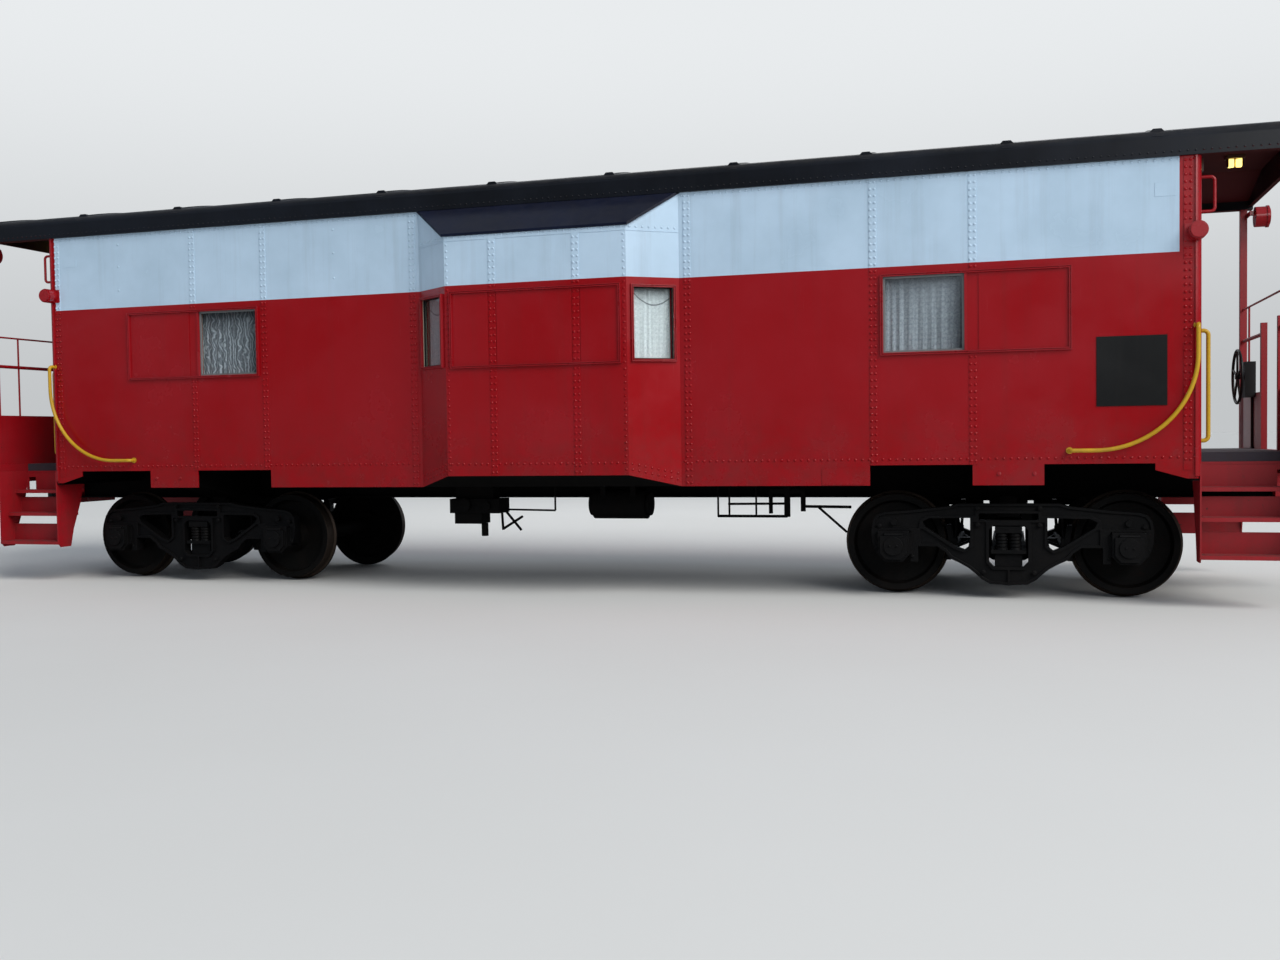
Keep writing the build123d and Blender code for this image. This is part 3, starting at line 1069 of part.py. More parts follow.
def corner_grab():
    """The curved handhold on the near side at end B."""
    x_out = HALF_LENGTH - GRAB_FROM_END
    x_in = x_out - GRAB_RUN
    wall = -HALF_WIDTH
    y = wall - GRAB_STANDOFF
    top, low = GRAB_TOP, GRAB_BOTTOM
    points = [(x_out, wall, top), (x_out, y, top), (x_out, y, low), (x_in, y, low), (x_in, wall, low)]
    path = FilletPolyline(*points, radius=(30, GRAB_BEND_RADIUS, 30))
    section = Plane(origin=path @ 0, z_dir=path % 0) * Circle(GRAB_RADIUS)
    bar = sweep(section, path=path)
    for x, z in ((x_out, GRAB_TOP), (x_in, GRAB_BOTTOM)):
        bar += rod((x, wall, z), (x, wall - FOOT_THICKNESS, z), FOOT_RADIUS)
    return bar


def end_grab(z_low, z_high, standoff, radius, bend, inset):
    """A vertical handhold on the end-B wall beside the near corner."""
    x, y = HALF_LENGTH, -HALF_WIDTH + inset
    points = [(x, y, z_low), (x + standoff, y, z_low), (x + standoff, y, z_high), (x, y, z_high)]
    bar = bent_bar(points, bend, radius)
    for z in (z_low, z_high):
        bar += rod((x, y, z), (x + FOOT_THICKNESS, y, z), radius + 10)
    return bar


def corner_lamp():
    """The drum-shaped lamp on the near side by the end-B corner."""
    x = HALF_LENGTH - CORNER_LAMP_FROM_END
    wall = -HALF_WIDTH
    z = CORNER_LAMP_HEIGHT
    back, front = wall - CORNER_LAMP_LENGTH + 16, wall - CORNER_LAMP_LENGTH
    drum = rod((x, wall - 14, z), (x, back, z), CORNER_LAMP_RADIUS)
    drum += rod((x, front, z), (x, back, z), CORNER_LAMP_RADIUS - 9)
    base = block(x - CORNER_LAMP_RADIUS - 22, HALF_LENGTH, wall - 14, wall - SEAM_THICKNESS, z - 66, z + 62)
    return drum + base


def marker_lamp():
    """The round marker lamp that hangs outside the near corner post at end B, under the roof header."""
    y, z = -HALF_WIDTH + MARKER_INSET_WIDTH, HEADER_BOTTOM - MARKER_DROP_HEIGHT
    back = PLATFORM_END + MARKER_STANDOFF
    front = back + MARKER_LENGTH
    rim = front - 22
    lamp = rod((back, y, z), (rim, y, z), MARKER_RADIUS) + rod((rim, y, z), (front, y, z), MARKER_RADIUS + 8)
    lens = rod((front, y, z), (front + 10, y, z), MARKER_RADIUS - 16)
    top = z + MARKER_RADIUS * 0.6
    arm = block(PLATFORM_END, PLATFORM_END + 12, -HALF_WIDTH, y + 30, top - 40, top)
    arm += block(PLATFORM_END, back, y - 20, y + 20, top - 40, top)
    return lamp + lens + arm


def canopy_lights():
    """The two-bulb lamp under the end-B canopy and the small box on the end wall beside it."""
    x = HALF_LENGTH + CANOPY_LAMP_SHARE * PLATFORM_LENGTH
    top, low = CEILING_HEIGHT, CEILING_HEIGHT - CANOPY_LAMP_BASE
    half, wide = CANOPY_LAMP_LENGTH / 2, CANOPY_LAMP_WIDTH / 2
    lamp = block(x - half, x + half, -wide, wide, low, top)
    for side in (-1, 1):
        bulb_x = x + side * half / 2
        lamp += rod((bulb_x, 0, top - BULB_LENGTH), (bulb_x, 0, low), BULB_RADIUS)
    side, z = WALL_BOX_SIDE / 2, EAVE_HEIGHT - WALL_BOX_HEIGHT / 2
    y, deep = -WALL_BOX_OFFSET, WALL_BOX_HEIGHT / 2
    box = block(HALF_LENGTH, HALF_LENGTH + WALL_BOX_SIDE, y - side, y + side, z - deep, z + deep)
    return [lamp, box]


def sign_plate():
    """The blank dark plate on the near side by end B."""
    outer = -HALF_WIDTH
    left = HALF_LENGTH - SIGN_END_OFFSET - SIGN_WIDTH
    top = SIGN_BOTTOM_HEIGHT + SIGN_HEIGHT
    return block(left, left + SIGN_WIDTH, outer - PLATE_THICKNESS, outer, SIGN_BOTTOM_HEIGHT, top)


# Air brake gear

def rods_along(y, rows):
    """Round bars that lie across Y, each given by the X and Z of its ends and its radius."""
    bars = [rod((start[0], y, start[1]), (end[0], y, end[1]), radius) for start, end, radius in rows]
    return bars[0] + bars[1:]


def brake_valve():
    """The air brake valve and its bracket under the near side of the floor, with the release levers."""
    left, right, front, back = VALVE_LEFT, VALVE_RIGHT, VALVE_FRONT, VALVE_BACK
    body = block(left, right, front, back, VALVE_BOTTOM, VALVE_TOP)
    body += block(left + 40, right - 190, front + 20, back - 20, VALVE_CHAMBER_BOTTOM, VALVE_BOTTOM)
    body += block(left + 40, right - 80, front + 50, back - 40, VALVE_TOP, FLOOR_BOTTOM)
    stem_x, stem_y = VALVE_STEM_PLACE
    stem_ends = ((stem_x, stem_y, VALVE_STEM_BOTTOM), (stem_x, stem_y, VALVE_CHAMBER_BOTTOM))
    body += rod(*stem_ends, VALVE_STEM_RADIUS)
    for x, z, length, radius in VALVE_CAPS:
        body += rod((x, front - length, z), (x, front, z), radius)
    y = back - VALVE_ROD_INSET
    (end_x, end_z), radius = RELEASE_ROD_END, RELEASE_ROD_RADIUS
    release = rods_along(y, [(RELEASE_ROD_START, RELEASE_ROD_END, radius)])
    release += rod((end_x, y, end_z), (end_x, y, FLOOR_BOTTOM), radius)
    return body + rods_along(y, VALVE_LEVERS) + release


def reservoir():
    """The air reservoir, lying along the car on two saddles."""
    y, z, radius = -RESERVOIR_OFFSET, RESERVOIR_HEIGHT, RESERVOIR_RADIUS
    low, high = RESERVOIR_START, RESERVOIR_START + RESERVOIR_LENGTH
    head = RESERVOIR_HEAD_LENGTH
    tank = rod((low, y, z), (high, y, z), radius) + rod((low - head, y, z), (high + head, y, z), radius - 30)
    half = RESERVOIR_SADDLE_WIDTH / 2
    for x in (low + RESERVOIR_SADDLE_INSET, high - RESERVOIR_SADDLE_INSET):
        tank += block(x - half, x + half, y - radius + 20, y + radius - 20, z, FLOOR_BOTTOM)
    return tank


def brake_cylinder():
    """The brake cylinder on the far side, with its push rod."""
    y, z, radius = CYLINDER_OFFSET, CYLINDER_HEIGHT, CYLINDER_RADIUS
    high, low = CYLINDER_END, CYLINDER_END - CYLINDER_LENGTH
    neck = low - CYLINDER_NECK_LENGTH
    body = rod((low, y, z), (high, y, z), radius)
    body += rod((high, y, z), (high + CYLINDER_FLANGE_LENGTH, y, z), radius + 30)
    body += block(low + 60, high - 70, y - radius + 35, y + radius - 35, z, FLOOR_BOTTOM)
    push = rod((neck, y, z), (neck - PUSH_ROD_LENGTH, y, z), PUSH_ROD_RADIUS)
    return body + push + rod((low, y, z), (neck, y, z), 60)


def angle_cock():
    """The valve at the end-B end of the train pipe, with the nipple that takes a brake hose."""
    x, y, z = TRAIN_PIPE_HALF, TRAIN_PIPE_OFFSET, TRAIN_PIPE_HEIGHT
    neck = x + COCK_LENGTH
    nipple = neck + NIPPLE_NECK_LENGTH
    cock = rod((x - 30, y, z), (neck, y, z), COCK_RADIUS)
    cock += rod((x + 40, y, z - COCK_RADIUS - 22), (x + 40, y, z + COCK_RADIUS + 30), 24)
    cock += block(x + 28, x + 52, y - 12, y + 110, z + COCK_RADIUS + 22, z + COCK_RADIUS + 34)
    cock += rod((neck, y, z), (nipple, y, z), NIPPLE_RADIUS - 4)
    return cock + rod((nipple, y, z), (nipple + NIPPLE_LENGTH, y, z), NIPPLE_RADIUS)


def train_pipe():
    """The brake pipe along the car with its hangers, ending in an angle cock at each end."""
    y, z = TRAIN_PIPE_OFFSET, TRAIN_PIPE_HEIGHT
    pipe = rod((-TRAIN_PIPE_HALF, y, z), (TRAIN_PIPE_HALF, y, z), TRAIN_PIPE_RADIUS)
    for x in TRAIN_PIPE_HANGERS:
        pipe += block(x - 20, x + 20, y - 12, y + 12, z, FLOOR_BOTTOM)
    return pipe + angle_cock() + mirror(angle_cock(), Plane.YZ)


def brake_rods():
    """The levers and pull rods hung below the floor between the bay and the end-B truck."""
    y = -BRAKE_ROD_OFFSET
    gear = rods_along(y, PULL_RODS)
    for x_low, x_high, half, low, high in [(*HANGING_LEVER, FLOOR_BOTTOM), *PULL_LEVERS]:
        gear += block(x_low, x_high, y - half, y + half, low, high)
    for x in PULL_HANGERS:
        gear += rod((x, y, PULL_RODS[0][0][1]), (x, y, FLOOR_BOTTOM), PULL_HANGER_RADIUS)
    return gear


def per_side(make):
    """A near-side piece and its far-side mirror image."""
    near = make() if callable(make) else make
    pieces = near if isinstance(near, list) else [near]
    return pieces + [to_far(piece) for piece in pieces]


def per_end(pieces):
    """End-B pieces and the same pieces turned to end A."""
    return pieces + [to_end_a(piece) for piece in pieces]


def collect():
    """Every node's name with its solids."""
    nodes = {}
    nodes["centre_sill"] = [centre_sill()]
    nodes["body_bolsters"] = [Pos(x, 0, 0) * body_bolster() for x in (-HALF_TRUCKS, HALF_TRUCKS)]
    bearers = [(x, CROSSBEARER_WIDTH) for x in CROSSBEARER_PLACES]
    end_place = HALF_LENGTH - END_BEARER_WIDTH / 2
    bearers += [(-end_place, END_BEARER_WIDTH), (end_place, END_BEARER_WIDTH)]
    nodes["crossbearers"] = [piece for x, width in bearers for piece in crossbearer(x, width)]
    nodes["floor"] = [floor()]
    nodes["roof"] = [roof()]
    wall, padded_wall = side_wall(False), side_wall(True)
    nodes["side_near_b"] = [padded_wall]
    nodes["side_near_a"] = [mirror(wall, Plane.YZ)]
    nodes["side_far_b"] = [to_far(wall)]
    nodes["side_far_a"] = [to_end_a(padded_wall)]
    nodes["bay_near"] = [bay_shell()]
    nodes["bay_far"] = [to_far(bay_shell())]
    nodes["bay_roofs"] = per_side(bay_roof)
    nodes["window_trim"] = per_side(window_trim)
    nodes["window_plates"] = per_side(window_plates)
    nodes["window_glass"] = per_side(window_glass)
    cloths, rods = [], []
    for half, low, high, place in curtain_places():
        for solid, group in ((curtain(half, low, high), cloths), (curtain_rod(half, high), rods)):
            placed = place(solid)
            group += [placed, mirror(placed, Plane.YZ)]
    nodes["curtains"] = per_side(cloths)
    nodes["curtain_rods"] = per_side(rods)
    end_iron = end_grab(END_GRAB_BOTTOM, END_GRAB_TOP, GRAB_STANDOFF, GRAB_RADIUS, 34, END_GRAB_INSET)
    nodes["grab_irons"] = per_end(per_side(corner_grab) + per_side(end_iron))
    small = (ROOF_GRAB_BOTTOM, ROOF_GRAB_TOP, ROOF_GRAB_STANDOFF, ROOF_GRAB_RADIUS, 30, ROOF_GRAB_INSET)
    small_iron = end_grab(*small)
    nodes["roof_handholds"] = per_end(per_side(small_iron))
    nodes["corner_lamps"] = per_end(per_side(corner_lamp))
    nodes["marker_lamps"] = per_end(per_side(marker_lamp))
    nodes["canopy_lights"] = per_end(canopy_lights())
    nodes["sign_plates"] = per_side([sign_plate()])
    nodes["brake_valve"] = [brake_valve()]
    nodes["reservoir"] = [reservoir()]
    nodes["brake_cylinder"] = [brake_cylinder()]
    nodes["brake_rods"] = [brake_rods()]
    nodes["train_pipe"] = [train_pipe()]
    ends = {
        "end_wall": [end_wall()], "door": [door()], "door_glass": [door_glass()],
        "platform": [platform()],
        "end_sill": [end_sill()], "steps": per_side(steps), "railing": [railing()],
        "coupler": [coupler(), cut_lever()],
    }
    for name, pieces in ends.items():
        nodes[name + "_b"] = pieces
        nodes[name + "_a"] = [to_end_a(piece) for piece in pieces]
    nodes["hand_brakes"] = [hand_brake(), mirror(hand_brake(), Plane.YZ)]
    axle = wheelset()
    frame = side_frame()
    boxes = [journal_box(x) for x in (-WHEELBASE / 2, WHEELBASE / 2)]
    beams = [brake_beam(), mirror(brake_beam(), Plane.YZ)]
    for letter, x in (("a", -HALF_TRUCKS), ("b", HALF_TRUCKS)):
        place = Pos(x, 0, 0)
        nodes["side_frames_" + letter] = [place * piece for piece in per_side([frame])]
        nodes["journal_boxes_" + letter] = [place * piece for piece in per_side(boxes)]
        nodes["truck_bolster_" + letter] = [place * truck_bolster()]
        nodes["springs_" + letter] = [place * piece for piece in spring_group()]
        nodes["brake_beams_" + letter] = [place * piece for piece in beams]
    half_base = WHEELBASE / 2
    places = [truck + axle_x for truck in (-HALF_TRUCKS, HALF_TRUCKS) for axle_x in (-half_base, half_base)]
    for number, x in enumerate(places, start=1):
        nodes[f"wheelset_{number}"] = [Pos(x, 0, AXLE_HEIGHT) * axle]
    return nodes


def solids_of(pieces):
    """The plain solids of a list of shapes."""
    return [solid for piece in pieces for solid in piece.solids()]


os.makedirs("parts", exist_ok=True)
for name, pieces in collect().items():
    export_step(Compound(children=solids_of(pieces), label=name), f"parts/{name}.step")
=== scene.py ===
"""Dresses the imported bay-window caboose: finishes, rivets, sashes, lace curtains, light and camera."""

from __future__ import annotations

import logging
import math
import random
from dataclasses import dataclass, field, replace
from enum import Enum
from functools import cached_property
from itertools import product
from typing import Any, Iterable, Sequence

import bpy
from mathutils import Matrix, Vector

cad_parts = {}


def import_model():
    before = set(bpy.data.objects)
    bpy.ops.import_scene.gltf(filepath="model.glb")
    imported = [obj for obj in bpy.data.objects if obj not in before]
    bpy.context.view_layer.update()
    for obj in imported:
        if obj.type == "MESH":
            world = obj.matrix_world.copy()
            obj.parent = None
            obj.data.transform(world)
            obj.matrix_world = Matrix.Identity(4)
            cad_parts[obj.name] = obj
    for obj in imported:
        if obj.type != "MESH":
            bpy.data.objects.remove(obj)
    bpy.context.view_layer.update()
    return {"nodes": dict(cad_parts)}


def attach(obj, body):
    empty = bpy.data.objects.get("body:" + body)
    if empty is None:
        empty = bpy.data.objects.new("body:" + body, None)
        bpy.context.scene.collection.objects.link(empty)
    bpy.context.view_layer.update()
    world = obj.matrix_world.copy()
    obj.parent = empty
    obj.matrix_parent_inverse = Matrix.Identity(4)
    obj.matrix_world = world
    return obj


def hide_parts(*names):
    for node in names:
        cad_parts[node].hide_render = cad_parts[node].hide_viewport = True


LOG = logging.getLogger("caboose")
Point = Sequence[float]
Tone = tuple[float, float, float, float]
Socket = bpy.types.NodeSocket
MM = 0.001
ENDS = (-1, 1)
SIDES = ((-1, "near"), (1, "far"))


class Body(Enum):
    """The moving bodies of the frame that pieces ride on."""

    CAR = "car"
    TRUCK_A = "truck_a"
    TRUCK_B = "truck_b"


class Slot(Enum):
    """The record's material slots, one named for each new piece."""

    RED = "car_red"
    TRIM = "trim_red"
    ROOF = "roof_black"
    TRUCK = "truck_black"
    CURTAIN = "curtain_cloth"
    STEEL = "rod_steel"


def linear(colour: str) -> Tone:
    """Turns an sRGB hex colour into Blender's linear colour.

    Args:
        colour: Six hex digits after a hash sign.

    Returns:
        Linear red, green, blue and an alpha of 1.
    """
    parts = (int(colour[i : i + 2], 16) / 255 for i in (1, 3, 5))
    curve = [p / 12.92 if p <= 0.04045 else ((p + 0.055) / 1.055) ** 2.4 for p in parts]
    return curve[0], curve[1], curve[2], 1.0


def add_node(
    tree: bpy.types.NodeTree, kind: str, inputs: dict[int | str, Any], output: int | str = 0, **settings: Any
) -> Socket:
    """Adds one node with its settings and incoming links.

    Args:
        tree: The node tree that takes it.
        kind: Its Blender type, without the leading ShaderNode.
        inputs: The value of each input, or the socket that feeds it.
        output: The output that is wanted.
        **settings: The node's own properties.

    Returns:
        The wanted output socket.
    """
    node = tree.nodes.new(f"ShaderNode{kind}")
    for key, value in settings.items():
        setattr(node, key, value)
    for key, value in inputs.items():
        if isinstance(value, Socket):
            tree.links.new(value, node.inputs[key])
        else:
            node.inputs[key].default_value = value
    return node.outputs[output]


# Finishes


@dataclass(frozen=True)
class Patches:
    """A pattern that never repeats, such as fading, dust or rust: its real scale and what shows of it."""

    per_metre: float
    detail: float
    grain: float = 0.5
    start: float = 0.0
    full: float = 1.0
    stretch: tuple[float, float, float] | None = None

    def draw(self, tree: bpy.types.NodeTree, where: Socket) -> Socket:
        """Draws the whole pattern.

        Args:
            tree: The tree that takes it.
            where: The coordinates that it lies in.

        Returns:
            Its value.
        """
        if self.stretch:
            where = add_node(tree, "Mapping", {"Vector": where, "Scale": self.stretch})
        look = {"Scale": self.per_metre, "Detail": self.detail, "Roughness": self.grain}
        return add_node(tree, "TexNoise", {"Vector": where, **look})

    def mask(self, tree: bpy.types.NodeTree, where: Socket, most: float = 1.0, least: float = 0.0) -> Socket:
        """Draws only the part of the pattern that shows.

        Args:
            tree: The tree that takes it.
            where: The coordinates that it lies in.
            most: Its value where the pattern is full.
            least: Its value where there is none.

        Returns:
            Its value.
        """
        limits = {"From Min": self.start, "From Max": self.full, "To Min": least, "To Max": most}
        return add_node(tree, "MapRange", {"Value": self.draw(tree, where), **limits})


class Layers:
    """A material in the making: its node tree, and its colour, roughness and height so far."""

    def __init__(self, name: str, constants: dict[str, Any], space: str = "Object") -> None:
        """Starts a material.

        Args:
            name: Its name.
            constants: What is the same all over it, by the shader's socket.
            space: The coordinates that its patterns lie in.
        """
        self.material = bpy.data.materials.new(name)
        self.material.use_nodes = True
        self.tree = self.material.node_tree
        self.shader = self.tree.nodes["Principled BSDF"]
        for key, value in constants.items():
            self.shader.inputs[key].default_value = value
        self.where = add_node(self.tree, "TexCoord", {}, space)
        self.colour: Socket | Tone | None = None
        self.rough: Socket | float | None = None
        self.height: Socket | float = 0.0

    @cached_property
    def axes(self) -> bpy.types.NodeOutputs:
        """The coordinates, split in X, Y and Z."""
        return add_node(self.tree, "SeparateXYZ", {0: self.where}).node.outputs

    @cached_property
    def facing(self) -> bpy.types.NodeOutputs:
        """The surface normal, split in X, Y and Z."""
        return add_node(self.tree, "SeparateXYZ", {0: self.where.node.outputs["Normal"]}).node.outputs

    def cover(self, mask: Socket, tone: str | Socket, dull: float | None = None) -> None:
        """Lays a coat over the colour so far.

        Args:
            mask: Where it lies.
            tone: Its colour.
            dull: Its roughness, if it has one of its own.
        """
        over = linear(tone) if isinstance(tone, str) else tone
        self.colour = add_node(self.tree, "Mix", {0: mask, 6: self.colour, 7: over}, 2, data_type="RGBA")
        if dull is not None:
            self.rough = add_node(self.tree, "Mix", {0: mask, 2: self.rough, 3: dull}, data_type="FLOAT")

    def upward(self, lean: tuple[float, float]) -> Socket:
        """Finds the faces that look up.

        Args:
            lean: The normal's Z where they start to, and where they fully do.

        Returns:
            Their mask.
        """
        limits = {"From Min": lean[0], "From Max": lean[1]}
        return add_node(self.tree, "MapRange", {"Value": self.facing["Z"], **limits})

    def emboss(self, *reliefs: tuple[Patches, float]) -> None:
        """Raises the surface by patterns.

        Args:
            *reliefs: Each pattern, and how high it stands in metres.
        """
        for pattern, high in reliefs:
            raised = {0: pattern.draw(self.tree, self.where), 1: high, 2: self.height}
            self.height = add_node(self.tree, "Math", raised, operation="MULTIPLY_ADD")

    def finish(self, relief: float = 1.0, edge: float = 0.0) -> bpy.types.Material:
        """Joins the colour, roughness and height to the shader.

        Args:
            relief: How strongly the height shows.
            edge: The radius in metres that sharp edges are softened to.

        Returns:
            The finished material.
        """
        ends = {"Base Color": self.colour, "Roughness": self.rough}
        if relief:
            bump = {"Strength": relief, "Distance": 1.0, "Height": self.height}
            if edge:
                bump["Normal"] = add_node(self.tree, "Bevel", {"Radius": edge}, samples=4)
            ends["Normal"] = add_node(self.tree, "Bump", bump)
        for key, socket in ends.items():
            if socket is not None:
                self.tree.links.new(socket, self.shader.inputs[key])
        return self.material


@dataclass(frozen=True)
class Stripe:
    """A pale band round the upper part of a painted side."""

    colour: str = "#BDD5EA"
    faded: str = "#AAC3D7"
    bottom: float = 2.73
    end_a: float = -5.235
    end_b: float = 5.155
    blur: float = 1 * MM


@dataclass(frozen=True)
class PaintedSteel:
    """Enamel on steel plate: colour faded in patches, dust low down, streaks, chips, a faint ripple, and
    painted shade on faces that look down.
    """

    name: str
    colour: str
    faded: str
    dirt: str = "#3A2A26"
    chip: str = "#4A2420"
    scuff: str = "#B9777B"
    dust: str = "#6E675F"
    ior: float = 1.5
    specular: float = 0.4
    roughness: float = 0.36
    fading: Patches = Patches(1 / 0.9, 5.0, 0.6, 0.38, 0.66)
    fade_share: float = 0.75
    fade_dulls: float = 0.16
    ripple: float = 3.0 * MM
    ripple_size: float = 1.1
    ripple_detail: float = 2.5
    peel: float = 0.05 * MM
    # Brushed enamel's real skin is near 2 mm. It is drawn at 4 mm, because finer doesn't show from here.
    orange_peel: Patches = Patches(260.0, 2.0)
    road_dust: Patches = Patches(7.0, 7.0, 0.7, 0.4, 0.7)
    dirt_from: float = 0.95
    dirt_to: float = 1.75
    dirt_share: float = 0.35
    dirt_dulls: float = 0.35
    rain: Patches = Patches(1.0, 4.0, 0.65, 0.52, 0.72, (11.0, 11.0, 0.45))
    streak_share: float = 0.22
    scratches: Patches = Patches(1.0, 4.0, 0.65, 0.66, 0.86, (70.0, 70.0, 2.2))
    scuff_share: float = 0.0
    chips: Patches = Patches(34.0, 6.0, 0.62)
    chip_share: float = 0.0
    chip_start: tuple[float, float] = (0.74, 0.16)
    chip_blur: float = 0.012
    chip_depth: float = 0.12 * MM
    edge: float = 2.0 * MM
    stripe: Stripe | None = None
    lining: str | None = None
    lining_rough: float = 0.55
    lining_from: float = -9.0
    lining_below: float = 9.0
    inward: float = -0.9
    bay_half: float = 1.225
    wall_inner: float = 1.33
    # Painted shade: the darker colour and roughness that faces looking down take, past a distance from the
    # middle of the car.
    underside_shade: str | None = None
    underside_shade_rough: float = 0.8
    underside_shade_from: float = 0.0
    downward: float = -0.3
    top_wear: Patches = Patches(14.0, 8.0, 0.75, 0.3, 0.62)
    worn_top: str | None = None
    worn_share: float = 0.95
    dust_top: float = 0.0
    top_rough: float = 0.7
    upward: tuple[float, float] = (0.35, 0.9)

    def build(self) -> bpy.types.Material:
        """Builds the material.

        Returns:
            The new material.
        """
        made = Layers(self.name, {"IOR": self.ior, "Specular IOR Level": self.specular})
        tree, where = made.tree, made.where
        fade = self.fading.mask(tree, where, self.fade_share)
        made.colour = linear(self.colour)
        made.cover(fade, self.faded)
        if self.stripe:
            self._add_stripe(made, fade)
        if self.streak_share:
            made.cover(self.rain.mask(tree, where, self.streak_share), self.dirt)
        if self.scuff_share:
            made.cover(self.scratches.mask(tree, where, self.scuff_share), self.scuff)
        low = {"Value": made.axes["Z"], "From Min": self.dirt_to, "From Max": self.dirt_from}
        spread_out = self.road_dust.mask(tree, where, self.dirt_share)
        near_ground = add_node(tree, "MapRange", low)
        dirty = add_node(tree, "Math", {0: near_ground, 1: spread_out}, operation="MULTIPLY")
        made.cover(dirty, self.dirt)
        made.rough = self.roughness
        for mask, dulls in ((fade, self.fade_dulls), (dirty, self.dirt_dulls)):
            made.rough = add_node(tree, "Math", {0: mask, 1: dulls, 2: made.rough}, operation="MULTIPLY_ADD")
        if self.lining:
            self._add_lining(made)
        # Painted shade on the faces that look down.
        if self.underside_shade:
            self._add_underside_shade(made)
        if self.worn_top or self.dust_top:
            self._add_top(made)
        ripple = Patches(1 / self.ripple_size, self.ripple_detail)
        made.emboss((self.orange_peel, self.peel), (ripple, self.ripple))
        if self.chip_share:
            self._add_chips(made)
        return made.finish(edge=self.edge)

    def _add_stripe(self, made: Layers, fade: Socket) -> None:
        """Paints the pale band.

        Args:
            made: The material so far.
            fade: How far the paint has faded.
        """
        tree, band = made.tree, self.stripe
        middle, half = (band.end_a + band.end_b) / 2, (band.end_b - band.end_a) / 2
        shifted = add_node(tree, "Math", {0: made.axes["X"], 1: middle}, operation="SUBTRACT")
        along = add_node(tree, "Math", {0: shifted}, operation="ABSOLUTE")
        masks = [
            add_node(tree, "MapRange", {"Value": value, "From Min": limit - blur, "From Max": limit + blur})
            for value, limit, blur in ((made.axes["Z"], band.bottom, band.blur), (along, half, -band.blur))
        ]
        mask = add_node(tree, "Math", {0: masks[0], 1: masks[1]}, operation="MULTIPLY")
        tones = {0: fade, 6: linear(band.colour), 7: linear(band.faded)}
        made.cover(mask, add_node(tree, "Mix", tones, 2, data_type="RGBA"))

    def _add_lining(self, made: Layers) -> None:
        """Paints the faces that look into the cabin in the lining's colour.

        Args:
            made: The material so far.
        """
        tree, axes = made.tree, made.axes
        towards, sizes = [], []
        for axis in ("X", "Y"):
            inputs = {0: axes[axis], 1: made.facing[axis]}
            towards.append(add_node(tree, "Math", inputs, operation="MULTIPLY"))
            sizes.append(add_node(tree, "Math", {0: axes[axis]}, operation="ABSOLUTE"))
        inward = add_node(tree, "Math", {0: towards[0], 1: towards[1]}, operation="MINIMUM")
        by_bay = add_node(tree, "Math", {0: sizes[0], 1: self.bay_half}, operation="LESS_THAN")
        by_wall = add_node(tree, "Math", {0: sizes[1], 1: self.wall_inner}, operation="LESS_THAN")
        mask = add_node(tree, "Math", {0: by_bay, 1: by_wall}, operation="MAXIMUM")
        for value, test, limit in (
            (inward, "LESS_THAN", self.inward),
            (axes["X"], "GREATER_THAN", self.lining_from),
            (axes["Z"], "LESS_THAN", self.lining_below),
        ):
            passed = add_node(tree, "Math", {0: value, 1: limit}, operation=test)
            mask = add_node(tree, "Math", {0: mask, 1: passed}, operation="MULTIPLY")
        made.cover(mask, self.lining, self.lining_rough)

    def _add_underside_shade(self, made: Layers) -> None:
        """Darkens the faces that look down, past a distance from the middle of the car, as painted shade.

        Args:
            made: The material so far.
        """
        tree = made.tree
        down = add_node(tree, "Math", {0: made.facing["Z"], 1: self.downward}, operation="LESS_THAN")
        along = add_node(tree, "Math", {0: made.axes["X"]}, operation="ABSOLUTE")
        beyond = add_node(tree, "Math", {0: along, 1: self.underside_shade_from - MM}, operation="GREATER_THAN")
        mask = add_node(tree, "Math", {0: down, 1: beyond}, operation="MULTIPLY")
        made.cover(mask, self.underside_shade, self.underside_shade_rough)

    def _add_top(self, made: Layers) -> None:
        """Shows wear or dust on faces that look up.

        Args:
            made: The material so far.
        """
        tree = made.tree
        shown = self.top_wear.mask(tree, made.where, self.worn_share if self.worn_top else self.dust_top)
        mask = add_node(tree, "Math", {0: made.upward(self.upward), 1: shown}, operation="MULTIPLY")
        made.cover(mask, self.worn_top or self.dust, self.top_rough)

    def _add_chips(self, made: Layers) -> None:
        """Breaks the paint with small chips.

        Args:
            made: The material so far.
        """
        start = self.chip_start[0] - self.chip_start[1] * self.chip_share
        mask = replace(self.chips, start=start, full=start + self.chip_blur).mask(made.tree, made.where)
        made.cover(mask, self.chip)
        sunk = {0: mask, 1: -self.chip_depth, 2: made.height}
        made.height = add_node(made.tree, "Math", sunk, operation="MULTIPLY_ADD")


@dataclass(frozen=True)
class Tread:
    """Where the wheels ran on the rails, so that their steel is bare."""

    colour: str = "#564A42"
    roughness: float = 0.42
    metal: float = 0.8
    truck_centre: float = 3.9
    half_base: float = 0.925
    axle_height: float = 0.4445
    rim: tuple[float, float] = (0.4115, 0.4135)
    inner_face: float = 0.7


